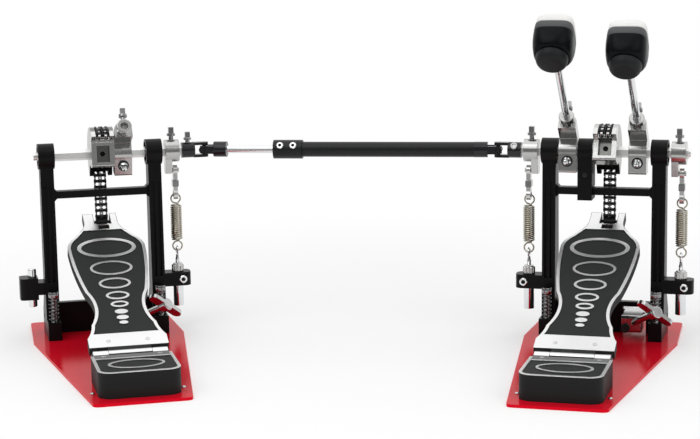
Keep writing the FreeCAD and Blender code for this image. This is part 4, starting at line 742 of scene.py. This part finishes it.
FLOOR_SIZE = 30
OBJECT_MIDDLE = (-0.25, -0.12, 0)
SHADOW_REACH = (0.35, 0.9)
SHADOW_WHITE = 0.3
FLOOR_SWEEP = (-1.0, -0.6)
FLOOR_FRONT, FLOOR_WHITE = (0.3, 0.3, 0.3), (0.93, 0.93, 0.93)
BACKDROP_SWEEP, ROOM_LEVEL = (-0.3, 0.4), 0.26
OVERHEAD_SWEEP = (0.5, 0.95)
DIFFUSE_LEVEL = 0.72


def seen(tree):
    """Camera rays, and these with the mirrored and transmitted rays that show the white backdrop too."""
    path = add_node(tree, "ShaderNodeLightPath")
    camera_ray = path.outputs["Is Camera Ray"]
    total = camera_ray
    for output in ("Is Glossy Ray", "Is Transmission Ray"):
        total = compute(tree, "ADD", total, path.outputs[output], clamp=True)
    return camera_ray, total


def floor_material():
    """White floor that keeps the shadow near the object, and mirrors darker in front of it."""
    material, tree, shader = new_material("floor_white")
    shader.inputs["Roughness"].default_value = 0.8
    shader.inputs["Specular IOR Level"].default_value = 0.0
    camera_ray, shown = seen(tree)
    sweep = remap(tree, place_along(tree, (0, 1, 0)), FLOOR_SWEEP, (0, 1), smooth=True)
    pale = compute(tree, "MAXIMUM", sweep, camera_ray)
    tree.links.new(blend_colors(tree, pale, FLOOR_FRONT, FLOOR_WHITE), shader.inputs["Base Color"])
    where = add_node(tree, "ShaderNodeTexCoord")
    offset = add_node(tree, "ShaderNodeVectorMath", operation="DISTANCE")
    offset.inputs[1].default_value = OBJECT_MIDDLE
    tree.links.new(where.outputs["Object"], offset.inputs[0])
    far = remap(tree, offset.outputs["Value"], SHADOW_REACH, (SHADOW_WHITE, 1), smooth=True)
    share = compute(tree, "MULTIPLY", compute(tree, "MULTIPLY", far, pale), shown)
    white = add_node(tree, "ShaderNodeEmission", Strength=1.0)
    both = add_node(tree, "ShaderNodeMixShader")
    for source, target in zip((share, shader.outputs["BSDF"], white.outputs["Emission"]), both.inputs):
        tree.links.new(source, target)
    tree.links.new(both.outputs["Shader"], tree.nodes["Material Output"].inputs["Surface"])
    return material


def studio_world():
    """White all round for the camera, a darker room behind the camera for what the metal mirrors."""
    factor, first, second = 0, 2, 3
    world = bpy.data.worlds.new("studio")
    world.use_nodes = True
    tree = world.node_tree
    camera_ray, shown = seen(tree)
    where = add_node(tree, "ShaderNodeTexCoord")
    axes = add_node(tree, "ShaderNodeSeparateXYZ")
    tree.links.new(where.outputs["Generated"], axes.inputs["Vector"])
    backdrop = remap(tree, axes.outputs["Y"], BACKDROP_SWEEP, (ROOM_LEVEL, 1), smooth=True)
    overhead = remap(tree, axes.outputs["Z"], OVERHEAD_SWEEP, (0, 1), smooth=True)
    level = compute(tree, "MAXIMUM", compute(tree, "MAXIMUM", camera_ray, backdrop), overhead)
    chosen = add_node(tree, "ShaderNodeMix", data_type="FLOAT")
    tree.links.new(shown, chosen.inputs[factor])
    chosen.inputs[first].default_value = DIFFUSE_LEVEL
    tree.links.new(level, chosen.inputs[second])
    sky = tree.nodes["Background"]
    sky.inputs["Color"].default_value = (1, 1, 1, 1)
    tree.links.new(chosen.outputs[0], sky.inputs["Strength"])
    return world


bpy.ops.mesh.primitive_plane_add(size=FLOOR_SIZE)
floor = bpy.context.object
floor.name = "floor"
floor.data.materials.append(floor_material())
bpy.context.scene.world = studio_world()


# Lamps and camera

def area_light(name, where, aim, size, power):
    """A square lamp at a place, aimed at a point."""
    data = bpy.data.lights.new(name, "AREA")
    data.size = size
    data.energy = power
    lamp = bpy.data.objects.new(name, data)
    bpy.context.scene.collection.objects.link(lamp)
    lamp.location = where
    lamp.rotation_mode = "QUATERNION"
    lamp.rotation_quaternion = (Vector(aim) - Vector(where)).to_track_quat("-Z", "Y")


area_light("key", where=(-0.9, -1.3, 1.7), aim=(-0.25, -0.1, 0.1), size=1.6, power=12)
area_light("fill", where=(1.2, -1.0, 1.2), aim=(-0.1, -0.1, 0.1), size=1.3, power=6)
area_light("top", where=(-0.25, 0.2, 1.8), aim=(-0.25, -0.1, 0.1), size=1.8, power=4)

# The photograph's view: place in metres, turns in degrees, focal length in pixels of the photograph
CAMERA_PLACE = (0.2665, -1.9084, 0.4478)
CAMERA_AZIMUTH, CAMERA_PITCH, CAMERA_ROLL = 15.844, 9.507, -0.916
PHOTO_WIDTH, FOCAL_PIXELS, SENSOR = 700, 1861.29, 36
camera_data = bpy.data.cameras.new("photo_camera")
camera_data.sensor_width = SENSOR
camera_data.lens = FOCAL_PIXELS / PHOTO_WIDTH * SENSOR
camera = bpy.data.objects.new("photo_camera", camera_data)
bpy.context.scene.collection.objects.link(camera)
camera.location = CAMERA_PLACE
camera.rotation_mode = "QUATERNION"
azimuth, pitch = math.radians(CAMERA_AZIMUTH), math.radians(CAMERA_PITCH)
look = Vector((-math.sin(azimuth) * math.cos(pitch), math.cos(azimuth) * math.cos(pitch), -math.sin(pitch)))
camera.rotation_quaternion = (look.to_track_quat("-Z", "Y").to_matrix()
                              @ Matrix.Rotation(math.radians(CAMERA_ROLL), 3, "Z")).to_quaternion()
bpy.context.scene.camera = camera
bpy.context.scene.view_settings.view_transform = "Standard"
